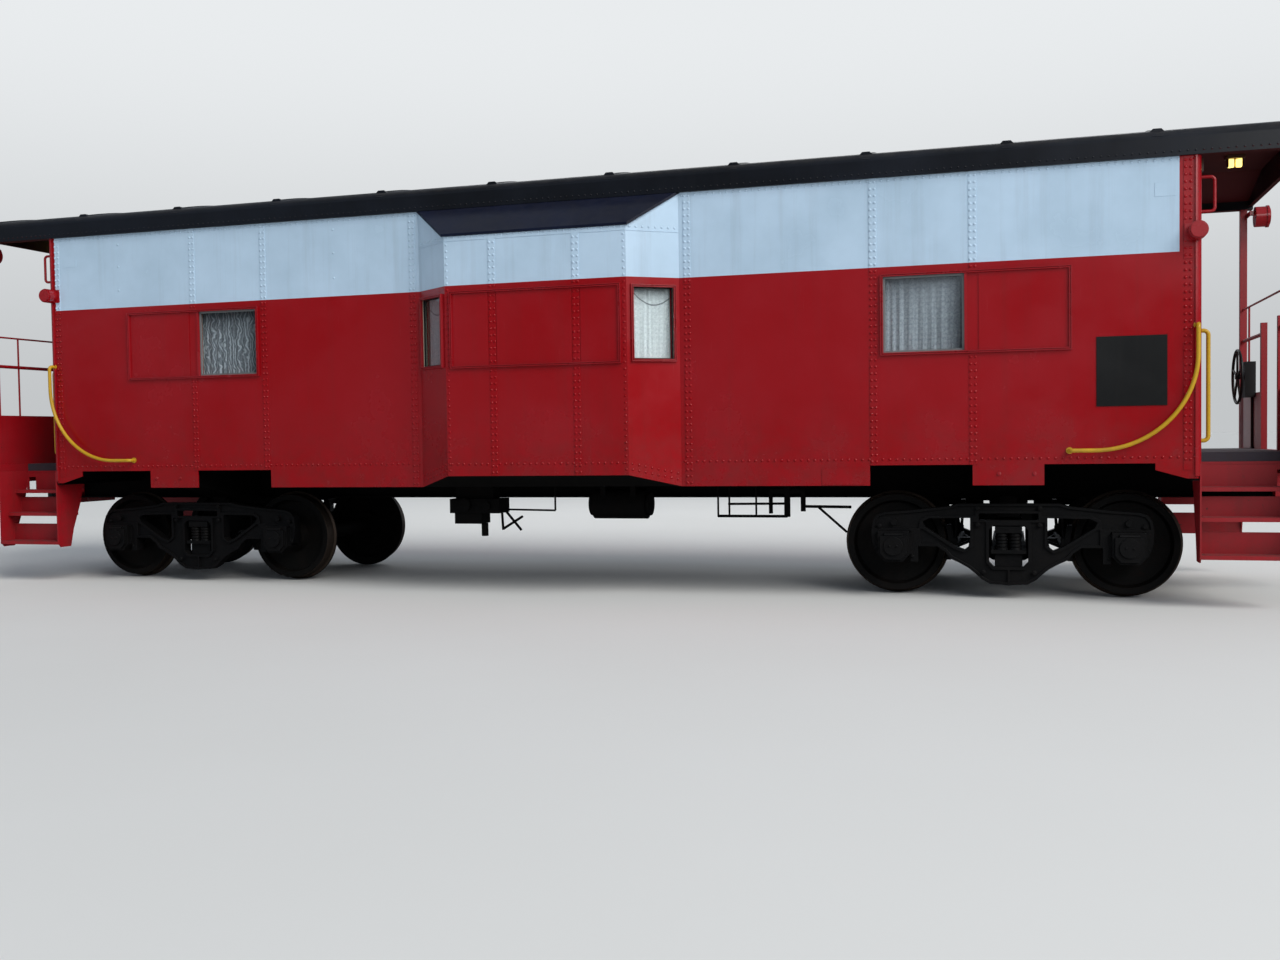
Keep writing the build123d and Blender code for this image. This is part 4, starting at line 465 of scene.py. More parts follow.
@dataclass(frozen=True)
class CastSteel:
    """Sand-cast steel under old black paint: a pitted skin, dust on its ledges, rust and oily patches."""

    name: str
    paint: str = "#191718"
    rust: str = "#33211A"
    dust: str = "#4B443D"
    ior: float = 1.5
    specular: float = 0.3
    roughness: float = 0.62
    rough_range: tuple[float, float] = (-0.12, 0.3)
    rusting: Patches = Patches(5.0, 8.0, 0.7, 0.45, 0.68)
    rust_share: float = 0.35
    settling: Patches = Patches(22.0, 5.0, 0.5, 0.3, 0.65)
    dust_share: float = 0.45
    upward: tuple[float, float] = (0.2, 0.95)
    grit: float = 0.5 * MM
    sand: Patches = Patches(1 / (5.0 * MM), 4.0, 0.6)
    lump: float = 1.6 * MM
    lumps: Patches = Patches(26.0, 3.0)
    relief: float = 0.9
    edge: float = 4.0 * MM
    tread: Tread | None = None

    def build(self) -> bpy.types.Material:
        """Builds the material.

        Returns:
            The new material.
        """
        made = Layers(self.name, {"IOR": self.ior, "Specular IOR Level": self.specular})
        tree, where = made.tree, made.where
        made.colour = linear(self.paint)
        made.cover(self.rusting.mask(tree, where, self.rust_share), self.rust)
        settled = {0: made.upward(self.upward), 1: self.settling.mask(tree, where, self.dust_share)}
        made.cover(add_node(tree, "Math", settled, operation="MULTIPLY"), self.dust)
        smoothest = self.roughness + self.rough_range[0]
        uneven = {0: self.rusting.draw(tree, where), 1: self.rough_range[1], 2: smoothest}
        made.rough = add_node(tree, "Math", uneven, operation="MULTIPLY_ADD")
        if self.tread:
            self._add_tread(made)
        made.emboss((self.sand, self.grit), (self.lumps, self.lump))
        return made.finish(self.relief, self.edge)

    def _add_tread(self, made: Layers) -> None:
        """Bares the steel where the wheels ran on the rails.

        Args:
            made: The material so far.
        """
        tree, axes, tread = made.tree, made.axes, self.tread
        along = axes["X"]
        for step in (tread.truck_centre, tread.half_base):
            along = add_node(tree, "Math", {0: along}, operation="ABSOLUTE")
            along = add_node(tree, "Math", {0: along, 1: step}, operation="SUBTRACT")
        high = add_node(tree, "Math", {0: axes["Z"], 1: tread.axle_height}, operation="SUBTRACT")
        from_axle = add_node(tree, "CombineXYZ", {0: along, 1: high})
        radius = add_node(tree, "VectorMath", {0: from_axle}, "Value", operation="LENGTH")
        limits = {"From Min": tread.rim[0], "From Max": tread.rim[1]}
        rim = add_node(tree, "MapRange", {"Value": radius, **limits})
        side = add_node(tree, "Math", {0: axes["Y"]}, operation="ABSOLUTE")
        outside = add_node(tree, "Math", {0: side, 1: tread.inner_face}, operation="GREATER_THAN")
        mask = add_node(tree, "Math", {0: rim, 1: outside}, operation="MULTIPLY")
        made.cover(mask, tread.colour, tread.roughness)
        metal = add_node(tree, "Math", {0: mask, 1: tread.metal}, operation="MULTIPLY")
        tree.links.new(metal, made.shader.inputs["Metallic"])


@dataclass(frozen=True)
class WindowGlass:
    """Old float glass: clear and smooth, with a thin film of dust that dulls it in patches."""

    name: str = "dusty_float_glass"
    tint: str = "#EAF0F2"
    shadow: str = "#DCE2E4"
    ior: float = 1.5
    film: Patches = Patches(6.0, 6.0, 0.7, 0.42, 0.72)
    roughness: tuple[float, float] = (0.012, 0.09)
    wave: Patches = Patches(3.2, 1.0)
    wave_height: float = 0.4 * MM

    def build(self) -> bpy.types.Material:
        """Builds the material.

        Returns:
            The new material.
        """
        clear = {"Base Color": linear(self.tint), "Transmission Weight": 1.0, "IOR": self.ior}
        made = Layers(self.name, clear)
        tree, where = made.tree, made.where
        made.rough = self.film.mask(tree, where, self.roughness[1], self.roughness[0])
        made.emboss((self.wave, self.wave_height))
        # Shadow rays pass the pane, so that the lamps light the curtains behind it.
        shadow = add_node(tree, "LightPath", {}, "Is Shadow Ray")
        passed = add_node(tree, "BsdfTransparent", {"Color": linear(self.shadow)})
        both = add_node(tree, "MixShader", {0: shadow, 1: made.shader.outputs[0], 2: passed})
        tree.links.new(both, tree.nodes["Material Output"].inputs["Surface"])
        return made.finish()


@dataclass(frozen=True)
class CottonLace:
    """Machine-made cotton lace: a matt off-white net with denser sprigs, whose open ground between the
    threads is painted darker as the shade seen through the net.
    """

    name: str = "cotton_lace"
    thread: str = "#F4F5F5"
    open_ground_shade: str = "#C2C5CA"
    ior: float = 1.46
    roughness: float = 0.9
    sheen: float = 0.25
    sprig: float = 42.0 * MM
    sprig_scatter: float = 0.35
    petal: tuple[float, float] = (0.42, 0.28)
    mesh: float = 9.0 * MM
    hole: tuple[float, float] = (0.05, 0.3)
    relief: float = 0.8
    thickness: float = 0.6 * MM
    curl: float = 0.0
    curl_bend: float = 14.0
    curl_detail: tuple[float, float] = (2.0, 0.9)
    stem: tuple[float, float] = (0.6, 0.8)
    thinned: float = 0.35
    # The swag is painted shade: a dark curve below the heading, where a valance's edge hangs.
    swag: float = 0.0
    swag_from: float = 35 * MM
    swag_shade_colour: str = "#54585E"
    swag_share: float = 0.8
    swag_edge: tuple[float, float] = (9 * MM, 3 * MM)
    width: float = 0.44

    def build(self) -> bpy.types.Material:
        """Builds the material.

        Returns:
            The new material.
        """
        cloth = {"Roughness": self.roughness, "Sheen Weight": self.sheen, "IOR": self.ior}
        made = Layers(self.name, cloth, "UV")
        tree, where = made.tree, made.where
        # The net's real pitch is about 2 mm. It is drawn at 9 mm, because finer threads don't show from here.
        net = {"Vector": where, "Scale": 1 / self.mesh}
        holes = add_node(tree, "TexVoronoi", net, "Distance", feature="DISTANCE_TO_EDGE")
        open_net = {"From Min": self.hole[0], "From Max": self.hole[1], "To Min": 1.0, "To Max": 0.0}
        threads = add_node(tree, "MapRange", {"Value": holes, **open_net})
        bed = {"Vector": where, "Scale": 1 / self.sprig, "Randomness": self.sprig_scatter}
        flowers = add_node(tree, "TexVoronoi", bed, "Distance")
        closed = {"Value": flowers, "From Min": self.petal[0], "From Max": self.petal[1]}
        petals = add_node(tree, "MapRange", closed)
        dense = add_node(tree, "Math", {0: threads, 1: petals}, operation="MAXIMUM")
        if self.curl:
            dense = self._add_curls(made, dense)
        # The open ground is painted shade, the dark behind the net seen through it. The threads cover it.
        made.colour = linear(self.open_ground_shade)
        made.cover(dense, self.thread)
        if self.swag:
            self._add_swag_shade(made)
        made.height = add_node(tree, "Math", {0: dense, 1: self.thickness}, operation="MULTIPLY")
        return made.finish(self.relief)

    def _add_curls(self, made: Layers, dense: Socket) -> Socket:
        """Works curling stems into the net.

        Args:
            made: The material so far.
            dense: How dense the net is.

        Returns:
            The new density.
        """
        curls = {"Vector": made.where, "Scale": 1 / self.curl, "Distortion": self.curl_bend}
        fine = {"Detail": self.curl_detail[0], "Detail Scale": self.curl_detail[1]}
        stems = add_node(made.tree, "TexWave", {**curls, **fine}, "Fac")
        limits = {"Value": stems, "From Min": self.stem[0], "From Max": self.stem[1]}
        thick = add_node(made.tree, "MapRange", limits)
        thin = add_node(made.tree, "Math", {0: dense, 1: self.thinned}, operation="MULTIPLY")
        return add_node(made.tree, "Math", {0: thin, 1: thick}, operation="MAXIMUM")

    def _add_swag_shade(self, made: Layers) -> None:
        """Draws a dark line that hangs in one curve below the heading: painted shade along a valance's lower
        edge.

        Args:
            made: The material so far.
        """
        tree, axes = made.tree, made.axes
        off = add_node(tree, "Math", {0: axes["X"], 1: 2 / self.width, 2: -1.0}, operation="MULTIPLY_ADD")
        square = add_node(tree, "Math", {0: off, 1: off}, operation="MULTIPLY")
        curve = {0: square, 1: -self.swag, 2: self.swag + self.swag_from}
        line = add_node(tree, "Math", curve, operation="MULTIPLY_ADD")
        below = add_node(tree, "Math", {0: axes["Y"], 1: line}, operation="SUBTRACT")
        near = add_node(tree, "Math", {0: below}, operation="ABSOLUTE")
        limits = {"From Min": self.swag_edge[0], "From Max": self.swag_edge[1], "To Max": self.swag_share}
        made.cover(add_node(tree, "MapRange", {"Value": near, **limits}), self.swag_shade_colour)


@dataclass(frozen=True)
class LampGlass:
    """Pressed lamp glass over a lit bulb: a warm yellow glow that is brightest low on the bulb."""

    name: str = "lit_pressed_glass"
    base: str = "#3A2A1E"
    stained: str = "#5A4030"
    glow: str = "#FFE27A"
    power: float = 2.2
    roughness: float = 0.35
    stain: Patches = Patches(90.0, 3.0)
    bright_below: float = 3.672
    bright_blur: float = 10 * MM
    lamp_place: float = 5.76
    bright_half: float = 52 * MM

    def build(self) -> bpy.types.Material:
        """Builds the material.

        Returns:
            The new material.
        """
        made = Layers(self.name, {"Emission Color": linear(self.glow), "Roughness": self.roughness})
        tree, axes = made.tree, made.axes
        end = add_node(tree, "Math", {0: axes["X"]}, operation="ABSOLUTE")
        beside = add_node(tree, "Math", {0: end, 1: self.lamp_place}, operation="SUBTRACT")
        apart = add_node(tree, "Math", {0: beside}, operation="ABSOLUTE")
        over = add_node(tree, "Math", {0: apart, 1: self.bright_half}, operation="LESS_THAN")
        limits = {"From Min": self.bright_below, "From Max": self.bright_below - self.bright_blur}
        low = add_node(tree, "MapRange", {"Value": axes["Z"], **limits})
        mask = add_node(tree, "Math", {0: over, 1: low}, operation="MULTIPLY")
        made.colour = linear(self.base)
        made.cover(self.stain.draw(tree, made.where), self.stained)
        made.cover(mask, self.glow)
        power = add_node(tree, "Math", {0: mask, 1: self.power}, operation="MULTIPLY")
        tree.links.new(power, made.shader.inputs["Emission Strength"])
        return made.finish(relief=0.0)


# Gloss alkyd enamel, rolled on: soft broad reflections that wander with the ripple. Its faces that look down
# are painted near black, as painted shade.
SIDE_ENAMEL = PaintedSteel(
    "two_tone_gloss_enamel", "#930811", "#98101B", stripe=Stripe(), lining="#B9B4A0", underside_shade="#080606",
    roughness=0.17, specular=0.42, ripple=9.0 * MM, ripple_size=0.7, streak_share=0.1, scuff_share=0.3,
    dirt_share=0.3,
)
# Black roof coating, brushed: a cool satin sheen with dust on the top. The canopy's underside, past 5.3 m
# from the middle, is red paint darkened as painted shade.
ROOF_PAINT = PaintedSteel(
    "black_satin_roof_coating", "#0B0E15", "#121824", dirt="#212226", underside_shade="#48070B", underside_shade_from=5.3,
    roughness=0.34, specular=0.3, ripple=5.0 * MM, streak_share=0.14, dirt_share=0.0, dust_top=0.2,
    chip_share=0.1, chip="#3C4148",
)
FINISHES: dict[str, PaintedSteel | CastSteel | WindowGlass | CottonLace | LampGlass] = {
    "sides": SIDE_ENAMEL,
    # The sides' enamel on rivet heads and strips, all of which face outwards.
    "fastenings": replace(
        SIDE_ENAMEL, name="two_tone_enamel_fastenings", lining=None, underside_shade=None, ripple=1.0 * MM,
        scuff_share=0.0, specular=0.3, edge=1.0 * MM,
    ),
    # The same enamel without the band: plain red ends that rain has streaked.
    "ends": PaintedSteel(
        "red_gloss_enamel_ends", "#920A13", "#98151F", lining="#B9B4A0", roughness=0.3, ripple=4.0 * MM,
        streak_share=0.14,
    ),
    # Brushed enamel on bar and angle: a harder edge light than the flat plate has.
    "trim": PaintedSteel(
        "red_brushed_enamel", "#920A14", "#9C1823", roughness=0.22, specular=0.5, ripple=1.0 * MM,
        ripple_size=0.4, chip_share=0.25, dirt_share=0.2, streak_share=0.1,
    ),
    # Red enamel on railings: the inboard face of end B's lower panels is pale grey.
    "rail": PaintedSteel(
        "red_enamel_railings", "#920A14", "#9A1722", lining="#B4B2B4", lining_from=6.0, lining_below=1.701,
        roughness=0.3, ripple=1.0 * MM, ripple_size=0.5, chip_share=0.35, dirt_to=1.6,
    ),
    # Red enamel worn to dull steel where feet land.
    "steps": PaintedSteel(
        "red_enamel_steps", "#960C17", "#9C1924", worn_top="#4C4644", roughness=0.4, ripple=1.0 * MM,
        ripple_size=0.4, chip_share=0.5, dirt_from=0.35, dirt_to=1.3,
    ),
    # Dark grey deck paint with grit in it: matt, scuffed paler where people stand.
    "deck": PaintedSteel(
        "grey_gritty_deck_paint", "#2F2B34", "#3D3842", worn_top="#4F4B50", roughness=0.62, peel=0.5 * MM,
        ripple=1.0 * MM, dirt_share=0.3,
    ),
    "roof": ROOF_PAINT,
    # The same coating on the bays' sloping plates, glossier and with less dust on top. Its deeper, bluer
    # colour is a painted reflection of blue sky on the black coating.
    "bay_roof": replace(
        ROOF_PAINT, name="black_bay_roof_coating_painted_sky_reflection", colour="#0A1024", faded="#101A36", underside_shade=None,
        roughness=0.3, dust_top=0.08,
    ),
    # Extruded black rubber round the bays' panes: matt, chalky where it has aged.
    "rubber": PaintedSteel(
        "aged_glazing_rubber", "#16171A", "#25262A", dirt="#34302D", roughness=0.7, specular=0.3,
        ripple=0.2 * MM, ripple_size=0.1,
    ),
    # Satin black enamel on a small flat plate: nearly even, faintly dusty.
    "sign": PaintedSteel(
        "black_satin_enamel", "#0D0E0F", "#161719", dirt="#2A2725", specular=0.35, ripple=0.6 * MM,
        ripple_size=0.3, streak_share=0.12,
    ),
    # Yellow safety enamel on round bar: bright, rubbed thin by hands.
    "yellow": PaintedSteel(
        "yellow_enamel_handholds", "#BE9418", "#CDA52C", dirt="#6A3E22", chip="#5A2A1C", ripple=0.4 * MM,
        ripple_size=0.2, chip_share=0.4, dirt_from=1.1, dirt_to=1.4, dirt_share=0.5,
    ),
    # Mill-finish aluminium sash, dulled to a soft grey.
    "sash": PaintedSteel(
        "dull_aluminium_sash", "#6E7274", "#838789", dirt="#3B3A38", roughness=0.45, ripple=0.3 * MM,
        ripple_size=0.2, dirt_from=2.0, dirt_to=2.2, dirt_share=0.5,
    ),
    # Sooty black underframe paint: almost no shine, road dust on every ledge.
    "under": CastSteel(
        "sooty_underframe_paint", "#0A0909", "#150E0B", "#28231F", grit=0.2 * MM, lump=0.8 * MM,
        roughness=0.75, specular=0.2,
    ),
    # Cast steel truck parts in black paint: rounded highlights on a sandy skin.
    "truck": CastSteel(
        "cast_steel_truck_black", "#08080A", "#130D0A", "#211E1B", rust_share=0.3, dust_share=0.3,
        roughness=0.5, specular=0.22,
    ),
    # Rolled wheel steel, rusty and oily, with a duller tread that once shone.
    "wheel": CastSteel(
        "rolled_wheel_steel", "#0A0908", "#1A110D", "#25201C", rust_share=0.5, dust_share=0.2,
        grit=0.3 * MM, roughness=0.6, specular=0.2, tread=Tread(),
    ),
    # Drawn steel curtain rod, gone grey.
    "rod": CastSteel(
        "drawn_grey_steel", "#77797B", "#6A5F58", "#8E8A84", rust_share=0.4, grit=0.05 * MM, lump=0.1 * MM,
        roughness=0.45,
    ),
    # Float glass: sharp reflections, dulled in patches by dust.
    "glass": WindowGlass(),
    # Pressed glass over a bulb: a small warm glow under the canopy.
    "lamp": LampGlass(),
    # Cotton lace: a bright sprigged net in the bays. Behind the side windows the same lace is figured in one,
    # and both are painted darker and greyer as painted shade inside the cabin.
    "lace": CottonLace(swag=0.13),
    "lace_a": CottonLace("figured_cotton_lace_painted_shade", "#C6C9D0", "#5A5E66", curl=120 * MM),
    "lace_b": CottonLace("cotton_lace_painted_shade", "#B9BCC3", "#70747B", mesh=8 * MM),
}

NODE_FINISHES: dict[str, str] = {
    "side_": "sides", "bay_roofs": "bay_roof", "bay_": "sides", "end_wall": "ends", "end_sill": "trim",
    "roof": "roof", "roof_handholds": "trim", "window_trim": "trim", "window_plates": "sides",
    "railing": "rail", "steps": "steps", "platform": "deck", "grab_irons": "yellow", "corner_lamps": "trim",
    "marker_lamps": "trim", "door_glass": "glass", "door": "trim", "window_glass": "glass",
    "canopy_lights": "lamp", "sign_plates": "sign", "hand_brakes": "sign", "curtain_rods": "rod",
    "side_frames": "truck", "journal_boxes": "truck", "truck_bolster": "truck", "springs": "truck",
    "brake_beams": "truck", "coupler": "truck", "wheelset": "wheel",
}


@dataclass
class Paintshop:
    """Builds every finish once and gives each carried-over CAD node its own."""

    nodes: dict[str, bpy.types.Object]
    finishes: dict[str, bpy.types.Material] = field(default_factory=dict)

    def build(self) -> None:
        """Builds the materials."""
        self.finishes = {name: recipe.build() for name, recipe in FINISHES.items()}

    def dress(self) -> None:
        """Gives each CAD node the finish whose longest matching name it has."""
        for name, thing in self.nodes.items():
            matches = [prefix for prefix in NODE_FINISHES if name.startswith(prefix)]
            finish = NODE_FINISHES[max(matches, key=len)] if matches else "under"
            thing.data.materials.clear()
            thing.data.materials.append(self.finishes[finish])


# Shapes: the radius and height of each ring of a rivet or bolt head, as shares of its own
DOME_RINGS = ((1.0, 0.0), (0.86, 0.27), (0.48, 0.468))
DOME_SIDES, DOME_TIP = 8, 0.56
WASHER, HEXAGON, BEVELLED = ((1.35, 0.0), (1.3, 0.18)), ((1.0, 0.2), (1.0, 0.86)), ((1.0, 0.86), (0.82, 1.0))
BOLT_STACKS = ((12, WASHER), (6, HEXAGON), (6, BEVELLED))


@dataclass
class Sketch:
    """Collects vertices and faces for one piece."""

    points: list[tuple[float, ...]] = field(default_factory=list)
    faces: list[tuple[int, ...]] = field(default_factory=list)

    def add(
        self, points: Iterable[Point], faces: Iterable[Sequence[int]], place: Matrix | None = None
    ) -> None:
        """Adds a patch of mesh.

        Args:
            points: Its vertices.
            faces: Its faces, numbered from its own first vertex.
            place: Where it goes, if it isn't given in place.
        """
        start = len(self.points)
        flipped = place is not None and place.determinant() < 0
        self.points += [tuple(place @ Vector(point) if place is not None else point) for point in points]
        for face in faces:
            self.faces.append(tuple(start + i for i in (reversed(face) if flipped else face)))

    def box(self, one: Point, other: Point, place: Matrix | None = None) -> None:
        """Adds a rectangular bar between two opposite corners.

        Args:
            one: A corner.
            other: The opposite corner.
            place: Where it goes, if it isn't given in place.
        """
        corners = product(*(sorted(pair) for pair in zip(one, other)))
        faces = [(0, 1, 3, 2), (4, 6, 7, 5), (0, 4, 5, 1), (2, 3, 7, 6), (0, 2, 6, 4), (1, 5, 7, 3)]
        self.add(corners, faces, place)

    def bars(self, place: Matrix, half: float, levels: Point, width: float, depths: Point) -> None:
        """Adds four bars that frame an opening.

        Args:
            place: Where the middle of the wall's outer face is.
            half: Half the frame's outer width.
            levels: The frame's bottom and top.
            width: The width of its bars.
            depths: The Y of its faces, counted inwards.
        """
        (low, high), (near, deep), inner = levels, depths, half - width
        for side in ENDS:
            self.box((side * half, near, low), (side * inner, deep, high), place)
        for edge, bar in ((low, width), (high, -width)):
            self.box((-inner, near, edge), (inner, deep, edge + bar), place)

    def turned(
        self, centre: Point, normal: Point, rings: Sequence[Point], sides: int, tip: float = 0.0
    ) -> None:
        """Adds a stack of rings about an axis, closed by a tip or a flat face.

        Args:
            centre: The middle of its foot.
            normal: The way it points.
            rings: The radius and height of each ring.
            sides: How many sides it has.
            tip: The height of its tip, or 0 for a flat face.
        """
        turn = Vector(normal).normalized().to_track_quat("Z", "Y").to_matrix()
        spots = [
            (math.cos(2 * math.pi * i / sides) * radius, math.sin(2 * math.pi * i / sides) * radius, height)
            for radius, height in rings
            for i in range(sides)
        ]
        last = len(spots) - sides
        faces: list[tuple[int, ...]] = []
        for ring in range(0, last, sides):
            for i in range(sides):
                a, b = ring + i, ring + (i + 1) % sides
                faces.append((a, b, b + sides, a + sides))
        if tip:
            faces += [(last + i, last + (i + 1) % sides, len(spots)) for i in range(sides)]
            spots.append((0.0, 0.0, tip))
        else:
            faces.append(tuple(range(last, len(spots))))
        self.add([tuple(Vector(centre) + turn @ Vector(spot)) for spot in spots], faces)

    def dome(self, centre: Point, normal: Point, radius: float) -> None:
        """Adds a rivet head.

        Args:
            centre: The middle of its foot.
            normal: The way it points.
            radius: The radius of its foot.
        """
        rings = [(radius * out, radius * up) for out, up in DOME_RINGS]
        self.turned(centre, normal, rings, DOME_SIDES, radius * DOME_TIP)

    def bolt(self, centre: Point, normal: Point, radius: float, height: float) -> None:
        """Adds a hexagonal bolt head on a washer.

        Args:
            centre: The middle of its foot.
            normal: The way it points.
            radius: Half its width over corners.
            height: Its height.
        """
        for sides, shares in BOLT_STACKS:
            self.turned(centre, normal, [(radius * out, height * up) for out, up in shares], sides)

    def make(
        self,
        name: str,
        finish: bpy.types.Material,
        slot: Slot,
        body: Body = Body.CAR,
        smooth: bool = False,
        bevel: float = 0.0,
    ) -> bpy.types.Object:
        """Turns the sketch into a piece that rides on a body.

        Args:
            name: The piece's name.
            finish: Its material.
            slot: The record's material slot; not used.
            body: The body that it moves with.
            smooth: Whether its faces shade smoothly.
            bevel: The width of its bevelled edges in metres, or 0.

        Returns:
            The new object.
        """
        mesh = bpy.data.meshes.new(name)
        mesh.from_pydata(self.points, [], self.faces)
        mesh.update()
        if smooth:
            mesh.shade_smooth()
        mesh.materials.append(finish)
        thing = bpy.data.objects.new(name, mesh)
        bpy.context.scene.collection.objects.link(thing)
        if bevel:
            edge = thing.modifiers.new("edge", "BEVEL")
            edge.width = bevel
            edge.segments = 2
            edge.limit_method = "ANGLE"
        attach(thing, body.value)
        LOG.info("%s: %d faces", name, len(self.faces))
        return thing


def spread(low: float, high: float, pitch: float) -> list[float]:
    """Evenly spaced places between two ends, near a pitch.

    Args:
        low: The first place.
        high: The last place.
        pitch: The wanted distance between places.

    Returns:
        The places.
    """
    count = max(1, round((high - low) / pitch))
    return [low + (high - low) * i / count for i in range(count + 1)]


@dataclass
class SubAssembly:
    """What the car's sub-assemblies share: the finishes, the body's size and its rivets."""

    shop: dict[str, bpy.types.Material]
    half_length: float = 5.3
    half_width: float = 1.385
    rivet: float = 12 * MM
    pitch: float = 56 * MM


@dataclass
class CarBody(SubAssembly):
    """The body's plates: rivets on seams, sills and eaves, bolts in the skirts and small cover plates."""

    seam_places: tuple[float, ...] = (1.29, 2.85, 3.635, 5.215)
    seam_width: float = 62 * MM
    seam_proud: float = 4 * MM
    seam_inset: float = 13 * MM
    seam_clear: float = 6 * MM
    seam_end: float = 30 * MM
    cut_from: float = 2.8
    skirt_cut: float = 1.12
    skirt_bottom: float = 0.954
    eave: float = 3.45
    row_start: float = 1.25
    row_end: float = 40 * MM
    low_row: float = 1.167
    high_row: float = 3.428
    window_levels: tuple[float, float] = (2.013, 2.672)
    window_span: tuple[float, float] = (2.908, 4.382)
    tab_bolts: tuple[float, float] = (3.83, 4.10)
    tab_level: float = 1.045
    tab_bolt: tuple[float, float] = (13 * MM, 12 * MM)
    band_bolts: tuple[float, float] = (-4.48, -2.095)
    band_levels: tuple[float, ...] = (2.90, 3.13, 3.345)
    cover_span: tuple[float, float] = (4.98, 5.135)
    cover_levels: tuple[float, float] = (3.155, 3.26)
    cover_proud: float = 2 * MM

    def build(self) -> None:
        """Builds the rivets, bolts and cover plates."""
        for side, name in SIDES:
            rivets, covers, heads, bolts = Sketch(), Sketch(), Sketch(), Sketch()
            face, out = side * self.half_width, (0, side, 0)
            for end in ENDS:
                self._add_seams(rivets, side, end)
            for end in ENDS:
                self._add_rows(rivets, side, end)
                (near, far), (low, high) = self.cover_span, self.cover_levels
                covers.box((end * near, face, low), (end * far, face + side * self.cover_proud, high))
                for x in self.tab_bolts:
                    bolts.bolt((end * x, face, self.tab_level), out, *self.tab_bolt)
            for x, z in product(self.band_bolts, self.band_levels):
                heads.dome((x, face, z), out, self.rivet)
            red = self.shop["fastenings"]
            rivets.make(f"rivets_{name}", red, Slot.RED, smooth=True)
            covers.make(f"lap_plates_{name}", red, Slot.RED)
            heads.make(f"band_bolts_{name}", red, Slot.RED, smooth=True)
            bolts.make(f"skirt_bolts_{name}", self.shop["trim"], Slot.TRIM)

    def _add_seams(self, rivets: Sketch, side: int, end: int) -> None:
        """Adds a row of rivets up each edge of each seam strip.

        Args:
            rivets: The sketch that takes them.
            side: -1 for the near side, 1 for the far side.
            end: -1 for end A, 1 for end B.
        """
        inset = self.seam_width / 2 - self.seam_inset
        (left, right), (sill, head) = self.window_span, self.window_levels
        for place in self.seam_places:
            low = self.skirt_cut if place > self.cut_from else self.skirt_bottom
            for x in (place - inset, place + inset):
                for z in spread(low + self.seam_end, self.eave - self.seam_end, self.pitch):
                    if not (left < x < right and sill < z < head):
                        spot = (end * x, side * (self.half_width + self.seam_proud), z)
                        rivets.dome(spot, (0, side, 0), self.rivet)

    def _add_rows(self, rivets: Sketch, side: int, end: int) -> None:
        """Adds the rows that run along the sill and under the eave.

        Args:
            rivets: The sketch that takes them.
            side: -1 for the near side, 1 for the far side.
            end: -1 for end A, 1 for end B.
        """
        clear = self.seam_width / 2 + self.seam_clear
        for z in (self.low_row, self.high_row):
            for x in spread(self.row_start, self.half_length - self.row_end, self.pitch):
                if all(abs(x - place) >= clear for place in self.seam_places):
                    rivets.dome((end * x, side * self.half_width, z), (0, side, 0), self.rivet)


